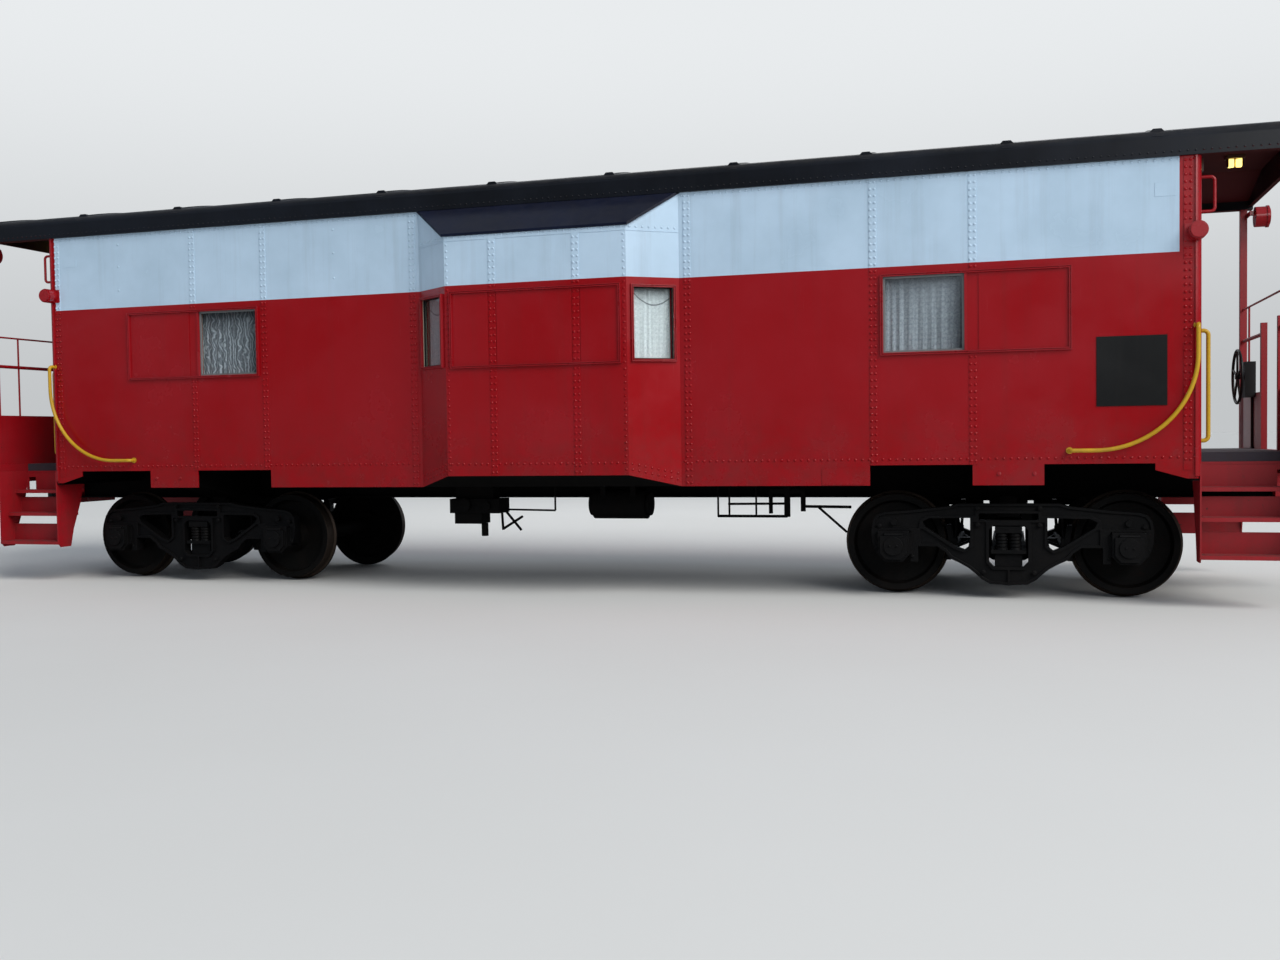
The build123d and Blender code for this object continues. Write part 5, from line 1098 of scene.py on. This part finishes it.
@dataclass
class BayDress(SubAssembly):
    """A bay's own plates: riveted strips on its front, a lapped top course and rows on its canted walls."""

    half_front: float = 0.835
    half_wall: float = 1.22
    depth: float = 0.285
    bottom: float = 1.06
    wall_bottom: float = 0.954
    top: float = 3.175
    lap: float = 3.118
    lap_gap: tuple[float, float] = (2 * MM, 3 * MM)
    lap_line: float = 4 * MM
    strips: tuple[float, ...] = (-0.385, 0.385)
    strip_width: float = 66 * MM
    strip_inset: float = 14 * MM
    strip_end: float = 30 * MM
    proud: float = 4 * MM
    trim: float = 22 * MM
    window: tuple[float, float] = (2.027, 2.658)
    top_row: float = 24 * MM
    low_row: float = 0.105
    cant_row: float = 0.055
    row_end: float = 40 * MM
    edge_start: float = 50 * MM
    cant_end: float = 35 * MM

    def build(self) -> None:
        """Builds the strips and rivets of both bays."""
        for side, name in SIDES:
            strips, rivets = Sketch(), Sketch()
            self._add_front(strips, rivets, side)
            for end in ENDS:
                self._add_cant(strips, rivets, side, end)
            strips.make(f"bay_strips_{name}", self.shop["fastenings"], Slot.RED, bevel=1 * MM)
            rivets.make(f"bay_rivets_{name}", self.shop["fastenings"], Slot.RED, smooth=True)

    def _add_front(self, strips: Sketch, rivets: Sketch, side: int) -> None:
        """Adds what lies on the flat front.

        Args:
            strips: The sketch that takes the strips.
            rivets: The sketch that takes the rivets.
            side: -1 for the near bay, 1 for the far bay.
        """
        front, out = side * (self.half_width + self.depth), (0, side, 0)
        outer = front + side * self.proud
        half, (low_edge, high_edge) = self.strip_width / 2, self.window
        spans = ((self.bottom, low_edge - self.trim), self.window, (high_edge + self.trim, self.lap))
        for x, (low, high) in product(self.strips, spans):
            strips.box((x - half, front, low), (x + half, outer, high))
            for z in spread(low + self.strip_end, high - self.strip_end, self.pitch):
                for offset in (self.strip_inset - half, half - self.strip_inset):
                    rivets.dome((x + offset, outer, z), out, self.rivet)
        reach, top = self.half_front - self.lap_gap[0], self.top - self.lap_gap[1]
        strips.box((-reach, front, self.lap), (reach, outer, top))
        for x in spread(self.row_end - self.half_front, self.half_front - self.row_end, self.pitch):
            rivets.dome((x, outer, self.top - self.top_row), out, self.rivet)
            rivets.dome((x, front, self.bottom + self.low_row), out, self.rivet)
        for x in (self.trim - self.half_front, self.half_front - self.trim):
            for z in spread(self.bottom + self.edge_start, self.lap - self.strip_end, self.pitch):
                rivets.dome((x, front, z), out, self.rivet)

    def _add_cant(self, strips: Sketch, rivets: Sketch, side: int, end: int) -> None:
        """Adds what lies on one canted wall.

        Args:
            strips: The sketch that takes the lap line.
            rivets: The sketch that takes the rivets.
            side: -1 for the near bay, 1 for the far bay.
            end: -1 towards end A, 1 towards end B.
        """
        wall = Vector((end * self.half_wall, side * self.half_width, 0))
        front = Vector((end * self.half_front, side * (self.half_width + self.depth), 0))
        along, run = (front - wall).normalized(), (front - wall).length
        normal = Vector((end * self.depth, side * (self.half_wall - self.half_front), 0)).normalized()
        for s in spread(self.cant_end, run - self.cant_end, self.pitch):
            low = self.wall_bottom + (self.bottom - self.wall_bottom) * s / run
            spot = wall + along * s
            for z in (low + self.cant_row, low + self.low_row, self.top - self.top_row):
                rivets.dome((spot.x, spot.y, z), normal, self.rivet)
        edge, inset = normal * self.proud, along * self.lap_line
        a, b = wall + inset, front - inset
        levels = (self.lap - self.lap_line, self.lap + self.lap_line)
        quad = [tuple(p + Vector((0, 0, z))) for p in (a, b, b + edge, a + edge) for z in levels]
        strips.add(quad, [(0, 2, 3, 1), (2, 4, 5, 3), (4, 6, 7, 5), (6, 0, 1, 7), (1, 3, 5, 7), (0, 6, 4, 2)])


@dataclass
class Curtain:
    """A lace curtain that hangs gathered from its rod, behind one window."""

    name: str
    lace: bpy.types.Material
    place: Matrix
    half: float
    behind: float
    levels: tuple[float, float]
    below_rod: float = 7 * MM
    cell: float = 6 * MM
    fewest: int = 40
    rows: int = 28
    pleats: tuple[float, float] = (62 * MM, 78 * MM)
    depth: float = 5.0 * MM
    flare: float = 4.6 * MM
    gather: float = 0.9
    wander: tuple[tuple[float, float], ...] = ((2.4, 6), (1.1, 15))
    lean: tuple[float, float] = (0.9, 5)
    fullness: tuple[float, float, float] = (0.72, 0.28, 13)
    crease: tuple[float, float, float] = (0.25, 0.4, 0.6)
    scallop: float = 6 * MM
    scallop_pitch: float = 40 * MM

    @property
    def columns(self) -> int:
        """How many cells it has across."""
        return max(self.fewest, round(self.half * 2 / self.cell))

    def hang(self, dice: random.Random) -> None:
        """Hangs the curtain.

        Args:
            dice: The seeded source of small differences.
        """
        pleat = dice.uniform(*self.pleats)
        phases = [dice.uniform(-3, 3) for _ in range(4)]
        points = []
        for row, column in product(range(self.rows + 1), range(self.columns + 1)):
            points.append(self._shape(row / self.rows, column / self.columns, pleat, phases))
        wide = self.columns + 1
        faces = [
            (first, first + 1, first + 1 + wide, first + wide)
            for first in (row * wide + column for row in range(self.rows) for column in range(self.columns))
        ]
        cloth = Sketch()
        cloth.add(points, faces, self.place)
        piece = cloth.make(self.name, self.lace, Slot.CURTAIN, smooth=True)
        flat = self._lay_flat(piece.data)
        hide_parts("curtains")

    def _shape(self, down: float, across: float, pleat: float, phases: list[float]) -> tuple[float, ...]:
        """Finds where a point of the gathered cloth hangs: uneven pleats that open towards a scalloped hem.

        Args:
            down: How far down it is, from 0 to 1.
            across: How far across it is, from 0 to 1.
            pleat: The distance between pleats.
            phases: Where the slow waves of the pleats start.

        Returns:
            The point, in the window's own frame.
        """
        low, high = self.levels[0], self.levels[1] - self.below_rod
        x = self.half * (2 * across - 1)
        waves = zip(self.wander, phases)
        wander = sum(far * math.sin(across * often + phase) for (far, often), phase in waves)
        lean = self.lean[0] * down * math.sin(across * self.lean[1] + phases[2])
        swing = math.sin(2 * math.pi * x / pleat + wander + lean)
        even, uneven, often = self.fullness
        fullness = even + uneven * math.sin(across * often + phases[3] + down)
        sharp, at_rod, more_at_hem = self.crease
        crease = sharp * math.sin(6 * math.pi * x / pleat + 2 * wander + 2 * down)
        depth = self.gather * (self.depth + self.flare * down)
        y = self.behind + depth * (swing * fullness + crease * (at_rod + more_at_hem * down))
        hem = self.scallop * abs(math.sin(math.pi * x / self.scallop_pitch)) if down == 1 else 0.0
        return x, y, high - (high - low) * down + hem

    def _lay_flat(self, mesh: bpy.types.Mesh) -> tuple[float, float]:
        """Unrolls the cloth into its texture map and measures its cut size.

        Args:
            mesh: The curtain's mesh.

        Returns:
            The flat width and length in metres.
        """
        spots = [vertex.co for vertex in mesh.vertices]
        wide = self.columns + 1
        across, down = [0.0] * len(spots), [0.0] * (self.rows + 1)
        for number in range(len(spots)):
            row, column = divmod(number, wide)
            if column:
                across[number] = across[number - 1] + (spots[number] - spots[number - 1]).length
            elif row:
                down[row] = down[row - 1] + (spots[number] - spots[number - wide]).length
        layer = mesh.uv_layers.new(name="cloth")
        for loop in mesh.loops:
            layer.data[loop.index].uv = (across[loop.vertex_index], down[loop.vertex_index // wide])
        area = sum(polygon.area for polygon in mesh.polygons)
        return area / down[-1], down[-1]


@dataclass
class Windows(SubAssembly):
    """Sashes, seals, frame lips and lace curtains of the four side windows and the four canted ones."""

    side_middle: float = 3.25
    side_half: float = 0.32
    side_levels: tuple[float, float] = (2.035, 2.65)
    wall: float = 60 * MM
    trim_middle: float = 3.645
    trim_half: float = 0.715
    bay_middle: tuple[float, float] = (1.0275, 1.5275)
    bay_half: float = 0.1815
    bay_levels: tuple[float, float] = (2.04, 2.645)
    bay_turn: float = math.atan2(0.285, 0.385)
    bay_wall: float = 50 * MM
    front: float = 1.67
    front_half: float = 0.765
    front_levels: tuple[float, float] = (2.027, 2.658)
    trim_width: float = 22 * MM
    trim_proud: float = 14 * MM
    lip: float = 8 * MM
    lip_proud: float = 11 * MM
    bar: float = 18 * MM
    seal: float = 9 * MM
    bar_depths: tuple[float, float] = (6 * MM, 20 * MM)
    rod_gap: float = 26 * MM
    rod_over: float = 30 * MM
    hem_under: float = 30 * MM
    lap_over: float = 20 * MM
    lap_under: float = 5 * MM
    seed: int = 8

    def build(self) -> None:
        """Builds the curtains, lips, seals and sashes."""
        dice = random.Random(self.seed)
        lips, seals, sashes = Sketch(), Sketch(), Sketch()
        for (side, name), (end, letter) in product(SIDES, zip(ENDS, "ab")):
            place = self._find(end, side, self.side_middle, self.half_width)
            sashes.bars(place, self.side_half, self.side_levels, self.bar, self.bar_depths)
            label, lace = f"{name}_{letter}", self.shop[f"lace_{letter}"]
            hung = (self.side_half + self.lap_over, self.wall + self.rod_gap, self._drop(self.side_levels))
            Curtain(f"curtain_side_{label}", lace, place, *hung).hang(dice)
            place = self._find(end, side, *self.bay_middle, self.bay_turn)
            seals.bars(place, self.bay_half, self.bay_levels, self.seal, self.bar_depths)
            hung = (self.bay_half - self.lap_under, self.bay_wall + self.rod_gap, self._drop(self.bay_levels))
            Curtain(f"curtain_bay_{label}", self.shop["lace"], place, *hung).hang(dice)
        for side in ENDS:
            self._add_lips(lips, self._find(1, side, 0.0, self.front), self.front_half, self.front_levels)
            for end in ENDS:
                place = self._find(end, side, self.trim_middle, self.half_width)
                self._add_lips(lips, place, self.trim_half, self.side_levels)
                place = self._find(end, side, *self.bay_middle, self.bay_turn)
                self._add_lips(lips, place, self.bay_half, self.bay_levels)
        lips.make("window_frame_lips", self.shop["trim"], Slot.TRIM, bevel=1 * MM)
        seals.make("window_seals", self.shop["rubber"], Slot.STEEL, bevel=1.5 * MM)
        sashes.make("window_sashes", self.shop["sash"], Slot.STEEL, bevel=1.5 * MM)

    def _find(self, end: int, side: int, x: float, y: float, turn: float = 0.0) -> Matrix:
        """Finds the middle of a window on its wall's outer face.

        Args:
            end: -1 towards end A, 1 towards end B.
            side: -1 for the near side, 1 for the far side.
            x: How far it is from the middle of the car.
            y: How far it is from the centre line.
            turn: How far its wall is turned.

        Returns:
            Its place, with Y inwards.
        """
        flip = Matrix.Diagonal((end, -side, 1, 1))
        return flip @ Matrix.Translation((x, -y, 0)) @ Matrix.Rotation(turn, 4, "Z")

    def _drop(self, levels: tuple[float, float]) -> tuple[float, float]:
        """The hem's and the rod's heights for an opening."""
        return levels[0] - self.hem_under, levels[1] + self.rod_over

    def _add_lips(self, lips: Sketch, place: Matrix, half: float, levels: tuple[float, float]) -> None:
        """Adds the outer and inner lip that make one frame a shallow channel.

        Args:
            lips: The sketch that takes them.
            place: Where the middle of the wall's outer face is.
            half: Half the width of the frame's opening.
            levels: The bottom and top of the frame's opening.
        """
        depths = (-self.trim_proud - self.lip_proud, -self.trim_proud)
        for out in (self.lip, self.trim_width):
            lips.bars(place, half + out, (levels[0] - out, levels[1] + out), self.lip, depths)


@dataclass
class RoofDress(SubAssembly):
    """Seam caps across the arched roof with a clip at each end, and rivets along its fascias."""

    half_length: float = 6.05
    first_cap: float = -0.5
    cap_pitch: float = 1.1
    cap_width: float = 75 * MM
    cap_foot: float = -2 * MM
    cap_height: float = 9 * MM
    crown: float = 3.835
    shoulder: tuple[float, float] = (1.34, 3.658)
    edge: tuple[float, float] = (1.408, 3.6)
    steps: int = 26
    clip_foot: float = 65 * MM
    clip_top: float = 30 * MM
    clip_reach: tuple[float, float] = (1.3, 1.365)
    clip_rise: tuple[float, float] = (3.64, 3.676)
    fascia: float = 1.415
    rivet_row: float = 3.483
    rivet: float = 8.5 * MM

    def build(self) -> None:
        """Builds the caps and rivets."""
        caps, rivets = Sketch(), Sketch()
        reach = int(self.half_length / self.cap_pitch) + 1
        for number in range(-reach, reach + 1):
            x = self.first_cap + number * self.cap_pitch
            if abs(x) < self.half_length:
                self._add_cap(caps, x)
                for side in ENDS:
                    self._add_clip(caps, x, side)
        for side in ENDS:
            for x in spread(-self.half_length, self.half_length, self.pitch):
                rivets.dome((x, side * self.fascia, self.rivet_row), (0, side, 0), self.rivet)
        caps.make("roof_seam_caps", self.shop["roof"], Slot.ROOF, bevel=2 * MM)
        rivets.make("fascia_rivets", self.shop["roof"], Slot.ROOF, smooth=True)

    def _add_clip(self, caps: Sketch, x: float, side: int) -> None:
        """Adds the tapered clip that holds one end of a cap down.

        Args:
            caps: The sketch that takes it.
            x: Its place along the car.
            side: -1 for the near side, 1 for the far side.
        """
        sizes = zip(self.clip_rise, (self.clip_foot, self.clip_top))
        points = [(end * half, y, z) for (z, half), y, end in product(sizes, self.clip_reach, ENDS)]
        faces = [(0, 2, 3, 1), (4, 5, 7, 6), (0, 1, 5, 4), (2, 6, 7, 3), (0, 4, 6, 2), (1, 3, 7, 5)]
        caps.add(points, faces, Matrix.Translation((x, 0, 0)) @ Matrix.Diagonal((1, side, 1, 1)))

    def _add_cap(self, caps: Sketch, x: float) -> None:
        """Adds one cap that follows the arch from edge to edge.

        Args:
            caps: The sketch that takes it.
            x: Its place along the car.
        """
        half, height = self.shoulder[0], self.crown - self.shoulder[1]
        radius = (half**2 + height**2) / (2 * height)
        arch = [half * (2 * i / self.steps - 1) for i in range(self.steps + 1)]
        line = [(y, self.crown - radius + math.sqrt(radius**2 - y**2)) for y in arch]
        line = [(-self.edge[0], self.edge[1]), *line, self.edge]
        points: list[Point] = []
        for i, (y, z) in enumerate(line):
            before, after = line[max(i - 1, 0)], line[min(i + 1, len(line) - 1)]
            run = math.dist(before, after)
            up_y, up_z = (before[1] - after[1]) / run, (after[0] - before[0]) / run
            for up, along in product((self.cap_foot, self.cap_height), ENDS):
                points.append((x + along * self.cap_width / 2, y + up_y * up, z + up_z * up))
        faces: list[tuple[int, ...]] = [(0, 1, 3, 2)]
        last = 4 * (len(line) - 1)
        for a in range(0, last, 4):
            b = a + 4
            faces += [(a, b, b + 1, a + 1), (a + 2, a + 3, b + 3, b + 2)]
            faces += [(a, a + 2, b + 2, b), (a + 1, b + 1, b + 3, a + 3)]
        faces.append((last, last + 2, last + 3, last + 1))
        caps.add(points, faces)


@dataclass
class EndDress(SubAssembly):
    """Rivets on the end walls, corner covers, grip bars on the steps and bolts in the end sills."""

    wall_rows: tuple[float, float] = (1.3, 0.4)
    wall_levels: tuple[float, float] = (1.24, 3.4)
    head_row: float = 3.42
    head_span: tuple[float, float] = (0.45, 1.255)
    cover_radius: float = 48 * MM
    cover_proud: float = 14 * MM
    cover_steps: int = 20
    cover_span: tuple[float, float] = (1.02, 3.452)
    buried: float = 2 * MM
    treads: tuple[tuple[float, float], ...] = ((0.412, 0.0), (0.696, 0.095), (0.925, 0.205))
    tread_span: tuple[float, float] = (5.34, 5.98)
    grips: int = 4
    grip_first: float = 22 * MM
    grip_pitch: float = 34 * MM
    grip_width: float = 12 * MM
    grip_height: float = 3 * MM
    platform_end: float = 6.08
    sill_bolt: tuple[float, float] = (12 * MM, 11 * MM)
    sill_bolts: tuple[tuple[float, float], ...] = (
        (1.34, 1.1), (1.24, 1.1), (0.9, 1.1), (0.5, 1.1), (1.355, 1.16), (1.355, 1.05),
    )

    def build(self) -> None:
        """Builds the small parts of both ends."""
        rivets, nosings, bolts, covers = Sketch(), Sketch(), Sketch(), Sketch()
        for end, side in product(ENDS, ENDS):
            face, out = end * self.half_length, (end, 0, 0)
            self._add_cover(covers, end, side)
            spots = list(product(self.wall_rows, spread(*self.wall_levels, self.pitch)))
            spots += [(y, self.head_row) for y in spread(*self.head_span, self.pitch)]
            for y, z in spots:
                rivets.dome((face, side * y, z), out, self.rivet)
            self._add_nosings(nosings, end, side)
            for y, z in self.sill_bolts:
                bolts.bolt((end * self.platform_end, side * y, z), out, *self.sill_bolt)
        rivets.make("end_rivets", self.shop["trim"], Slot.RED, smooth=True)
        covers.make("corner_covers", self.shop["trim"], Slot.TRIM)
        nosings.make("step_nosings", self.shop["steps"], Slot.STEEL, bevel=1 * MM)
        bolts.make("end_sill_bolts", self.shop["trim"], Slot.TRIM)

    def _add_cover(self, covers: Sketch, end: int, side: int) -> None:
        """Adds the rounded cover plate that wraps one corner of the body.

        Args:
            covers: The sketch that takes it.
            end: -1 for end A, 1 for end B.
            side: -1 for the near side, 1 for the far side.
        """
        in_x, in_y = self.half_length - self.buried, self.half_width - self.buried
        middle_x = self.half_length + self.cover_proud - self.cover_radius
        middle_y = self.half_width + self.cover_proud - self.cover_radius
        outline = [(middle_x - self.buried, in_y)]
        for i in range(self.cover_steps + 1):
            turn = math.pi / 2 * i / self.cover_steps
            across, along = self.cover_radius * math.sin(turn), self.cover_radius * math.cos(turn)
            outline.append((middle_x + across, middle_y + along))
        outline += [(in_x, middle_y - self.buried), (in_x, in_y)]
        count = len(outline)
        points = [(x, y, z) for z in self.cover_span for x, y in outline]
        faces = [tuple(range(count)), tuple(reversed(range(count, 2 * count)))]
        pairs = [(i, (i + 1) % count) for i in range(count)]
        faces = [(i, i + count, after + count, after) for i, after in pairs] + faces
        covers.add(points, faces, Matrix.Diagonal((end, side, 1, 1)))

    def _add_nosings(self, nosings: Sketch, end: int, side: int) -> None:
        """Adds raised grip bars on each tread.

        Args:
            nosings: The sketch that takes them.
            end: -1 for end A, 1 for end B.
            side: -1 for the near side, 1 for the far side.
        """
        near, far = self.tread_span
        for (z, front), grip in product(self.treads, range(self.grips)):
            y = self.half_width - front - self.grip_first - self.grip_pitch * grip
            inner = (end * far, side * (y - self.grip_width), z + self.grip_height)
            nosings.box((end * near, side * y, z), inner)


@dataclass
class TruckDress:
    """Bolts on the trucks' side frames, journal boxes and their lids."""

    shop: dict[str, bpy.types.Material]
    centre: float = 3.9
    half_base: float = 0.925
    face: float = 1.05
    frame_bolt: tuple[float, float] = (17 * MM, 16 * MM)
    frame_bolts: tuple[tuple[float, float], ...] = (
        (0.245, 0.748), (0.245, 0.612), (0.2, 0.22), (1.045, 0.6), (1.06, 0.42),
    )
    # From the axle's middle, height, face, then the head's radius and height.
    box_bolts: tuple[tuple[float, ...], ...] = (
        (-0.105, 0.53, 1.064, 11 * MM, 12 * MM), (0.105, 0.53, 1.064, 11 * MM, 12 * MM),
        (-0.03, 0.4365, 1.15, 8 * MM, 8 * MM), (0.03, 0.4365, 1.15, 8 * MM, 8 * MM),
    )
    jaw_bolt: tuple[float, float] = (12 * MM, 12 * MM)
    jaw_half: float = 0.15
    jaw_levels: tuple[float, float] = (0.345, 0.41)

    def build(self) -> None:
        """Builds the fastenings of both trucks."""
        for end, body, name in ((-1, Body.TRUCK_A, "a"), (1, Body.TRUCK_B, "b")):
            bolts = Sketch()
            for side in ENDS:
                self._add_side(bolts, end * self.centre, side)
            bolts.make(f"truck_bolts_{name}", self.shop["truck"], Slot.TRUCK, body)

    def _add_side(self, bolts: Sketch, middle: float, side: int) -> None:
        """Adds the fastenings of one side frame.

        Args:
            bolts: The sketch that takes them.
            middle: The X of the truck's middle.
            side: -1 for the near frame, 1 for the far one.
        """
        out, face = (0, side, 0), side * self.face
        for end in ENDS:
            axle = middle + end * self.half_base
            for x, z in self.frame_bolts:
                bolts.bolt((middle + end * x, face, z), out, *self.frame_bolt)
            for x, z, y, radius, height in self.box_bolts:
                bolts.bolt((axle + x, side * y, z), out, radius, height)
            for x, z in zip((-self.jaw_half, self.jaw_half), self.jaw_levels[::end]):
                bolts.bolt((axle + x, face, z), out, *self.jaw_bolt)


@dataclass
class Studio:
    """The plain floor, the soft lamps and the camera at the photograph's viewing angle."""

    camera_place: tuple[float, float, float] = (3.90693, -11.59282, 1.38026)
    yaw: float = 0.29135
    pitch: float = 0.03483
    roll: float = -0.01483
    focal_pixels: float = 1231.65
    picture_width: float = 1280.0
    sensor: float = 36.0
    clip_end: float = 400.0
    floor_half: float = 500.0
    floor_tones: tuple[str, str] = ("#DEDEDC", "#E4E4E3")
    floor_mirrored: str = "#4C4C4A"
    floor_roughness: float = 0.9
    floor_wear: Patches = Patches(0.4, 4.0)
    key_from: tuple[float, float, float] = (16.0, -9.5, 15.0)
    key_angle: float = 38.0
    key_energy: float = 2.2
    key_colour: str = "#FFFDF8"
    world_colour: str = "#DDE8F5"
    world_strength: float = 0.42
    world_patches: Patches = Patches(5.0, 5.0, 0.6, 0.48, 0.64)
    reflected: tuple[float, float] = (0.04, 1.1)
    horizon: str = "#C2C5C7"
    backdrop: str = "#E9ECEE"
    backdrop_rise: float = 0.32
    softboxes: tuple[tuple[Point, Point, float, float, float], ...] = (
        ((0.0, 12.0, 9.0), (0.0, 0.0, 2.0), 14.0, 6.0, 300.0),
        ((10.5, -12.0, 6.5), (5.0, 0.0, 1.6), 6.0, 4.0, 330.0),
    )

    def build(self) -> None:
        """Builds the floor, lamps, world and camera."""
        self._lay_floor()
        self._hang_lamps()
        self._light_world()
        self._set_camera()

    def _lay_floor(self) -> None:
        """Lays a pale matt floor that runs far past the view."""
        mesh = bpy.data.meshes.new("studio_floor")
        half = self.floor_half
        corners = [(-half, -half, 0), (half, -half, 0), (half, half, 0), (-half, half, 0)]
        mesh.from_pydata(corners, [], [(0, 1, 2, 3)])
        floor = bpy.data.objects.new("studio_floor", mesh)
        bpy.context.scene.collection.objects.link(floor)
        made = Layers("matt_pale_floor", {"Roughness": self.floor_roughness})
        made.colour = linear(self.floor_tones[0])
        made.cover(self.floor_wear.draw(made.tree, made.where), self.floor_tones[1])
        # Gloss paint mirrors a darker ground than the pale floor.
        made.cover(add_node(made.tree, "LightPath", {}, "Is Glossy Ray"), self.floor_mirrored)
        mesh.materials.append(made.finish(relief=0.0))

    def _hang_lamps(self) -> None:
        """Hangs the lamps: a broad key from the right that falls off little, and two softboxes."""
        key = bpy.data.lights.new("broad_key", "SUN")
        key.angle = math.radians(self.key_angle)
        key.energy = self.key_energy
        key.color = linear(self.key_colour)[:3]
        self._aim(key, self.key_from, (0.0, 0.0, 0.0))
        for number, (place, target, width, height, power) in enumerate(self.softboxes):
            lamp = bpy.data.lights.new(f"softbox_{number}", "AREA")
            lamp.shape = "RECTANGLE"
            lamp.size, lamp.size_y, lamp.energy = width, height, power
            self._aim(lamp, place, target)

    def _aim(self, lamp: bpy.types.Light, place: Point, target: Point) -> None:
        """Puts a lamp in place and turns it.

        Args:
            lamp: The lamp.
            place: Where it goes.
            target: The point that it shines at.
        """
        thing = bpy.data.objects.new(lamp.name, lamp)
        thing.location = place
        thing.rotation_euler = (Vector(target) - Vector(place)).to_track_quat("-Z", "Y").to_euler()
        bpy.context.scene.collection.objects.link(thing)

    def _light_world(self) -> None:
        """Gives the world a cool even light, and a pale backdrop where the camera sees it."""
        world = bpy.data.worlds.new("studio_world")
        bpy.context.scene.world = world
        world.use_nodes = True
        tree = world.node_tree
        tree.nodes.remove(tree.nodes["Background"])
        way = add_node(tree, "TexCoord", {}, "Generated")
        # Reflections see a darker, patchy world, so that gloss paint shows light and dark areas.
        uneven = self.world_patches.mask(tree, way, self.reflected[1], self.reflected[0])
        rays = add_node(tree, "LightPath", {}).node.outputs
        shares = {0: rays["Is Glossy Ray"], 2: self.world_strength, 3: uneven}
        strength = add_node(tree, "Mix", shares, data_type="FLOAT")
        soft = add_node(tree, "Background", {"Color": linear(self.world_colour), "Strength": strength})
        # The backdrop starts at the far floor's own tone, so that no horizon shows.
        height = add_node(tree, "SeparateXYZ", {0: way}, "Z")
        climb = {"Value": height, "From Max": self.backdrop_rise}
        rise = add_node(tree, "MapRange", climb, interpolation_type="SMOOTHSTEP")
        tones = {0: rise, 6: linear(self.horizon), 7: linear(self.backdrop)}
        tone = add_node(tree, "Mix", tones, 2, data_type="RGBA")
        seen = add_node(tree, "Background", {"Color": tone, "Strength": 1.0})
        both = add_node(tree, "MixShader", {0: rays["Is Camera Ray"], 1: soft, 2: seen})
        tree.links.new(both, tree.nodes["World Output"].inputs["Surface"])

    def _set_camera(self) -> None:
        """Sets the camera from the pose that was solved from the photograph."""
        lens = bpy.data.cameras.new("photo_camera")
        lens.sensor_width = self.sensor
        lens.lens = self.sensor * self.focal_pixels / self.picture_width
        lens.clip_end = self.clip_end
        flat_right = Vector((math.cos(self.yaw), math.sin(self.yaw), 0))
        level = Vector((-math.sin(self.yaw), math.cos(self.yaw), 0))
        forward = level * math.cos(self.pitch) - Vector((0, 0, math.sin(self.pitch)))
        flat_up = flat_right.cross(forward)
        right = flat_right * math.cos(self.roll) + flat_up * math.sin(self.roll)
        up = flat_up * math.cos(self.roll) - flat_right * math.sin(self.roll)
        camera = bpy.data.objects.new("photo_camera", lens)
        turn = Matrix((right, up, -forward)).transposed().to_4x4()
        camera.matrix_world = Matrix.Translation(self.camera_place) @ turn
        bpy.context.scene.collection.objects.link(camera)
        bpy.context.scene.camera = camera
        bpy.context.scene.view_settings.view_transform = "Standard"


def main() -> None:
    """Loads the frame, dresses it and sets the studio round it."""
    logging.basicConfig(level=logging.INFO, format="%(message)s")
    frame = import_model()
    shop = Paintshop(frame["nodes"])
    shop.build()
    shop.dress()
    for part in (CarBody, BayDress, Windows, RoofDress, EndDress, TruckDress):
        part(shop.finishes).build()
        LOG.info("%s done", part.__name__)
    Studio().build()


if __name__ == "__main__":
    main()
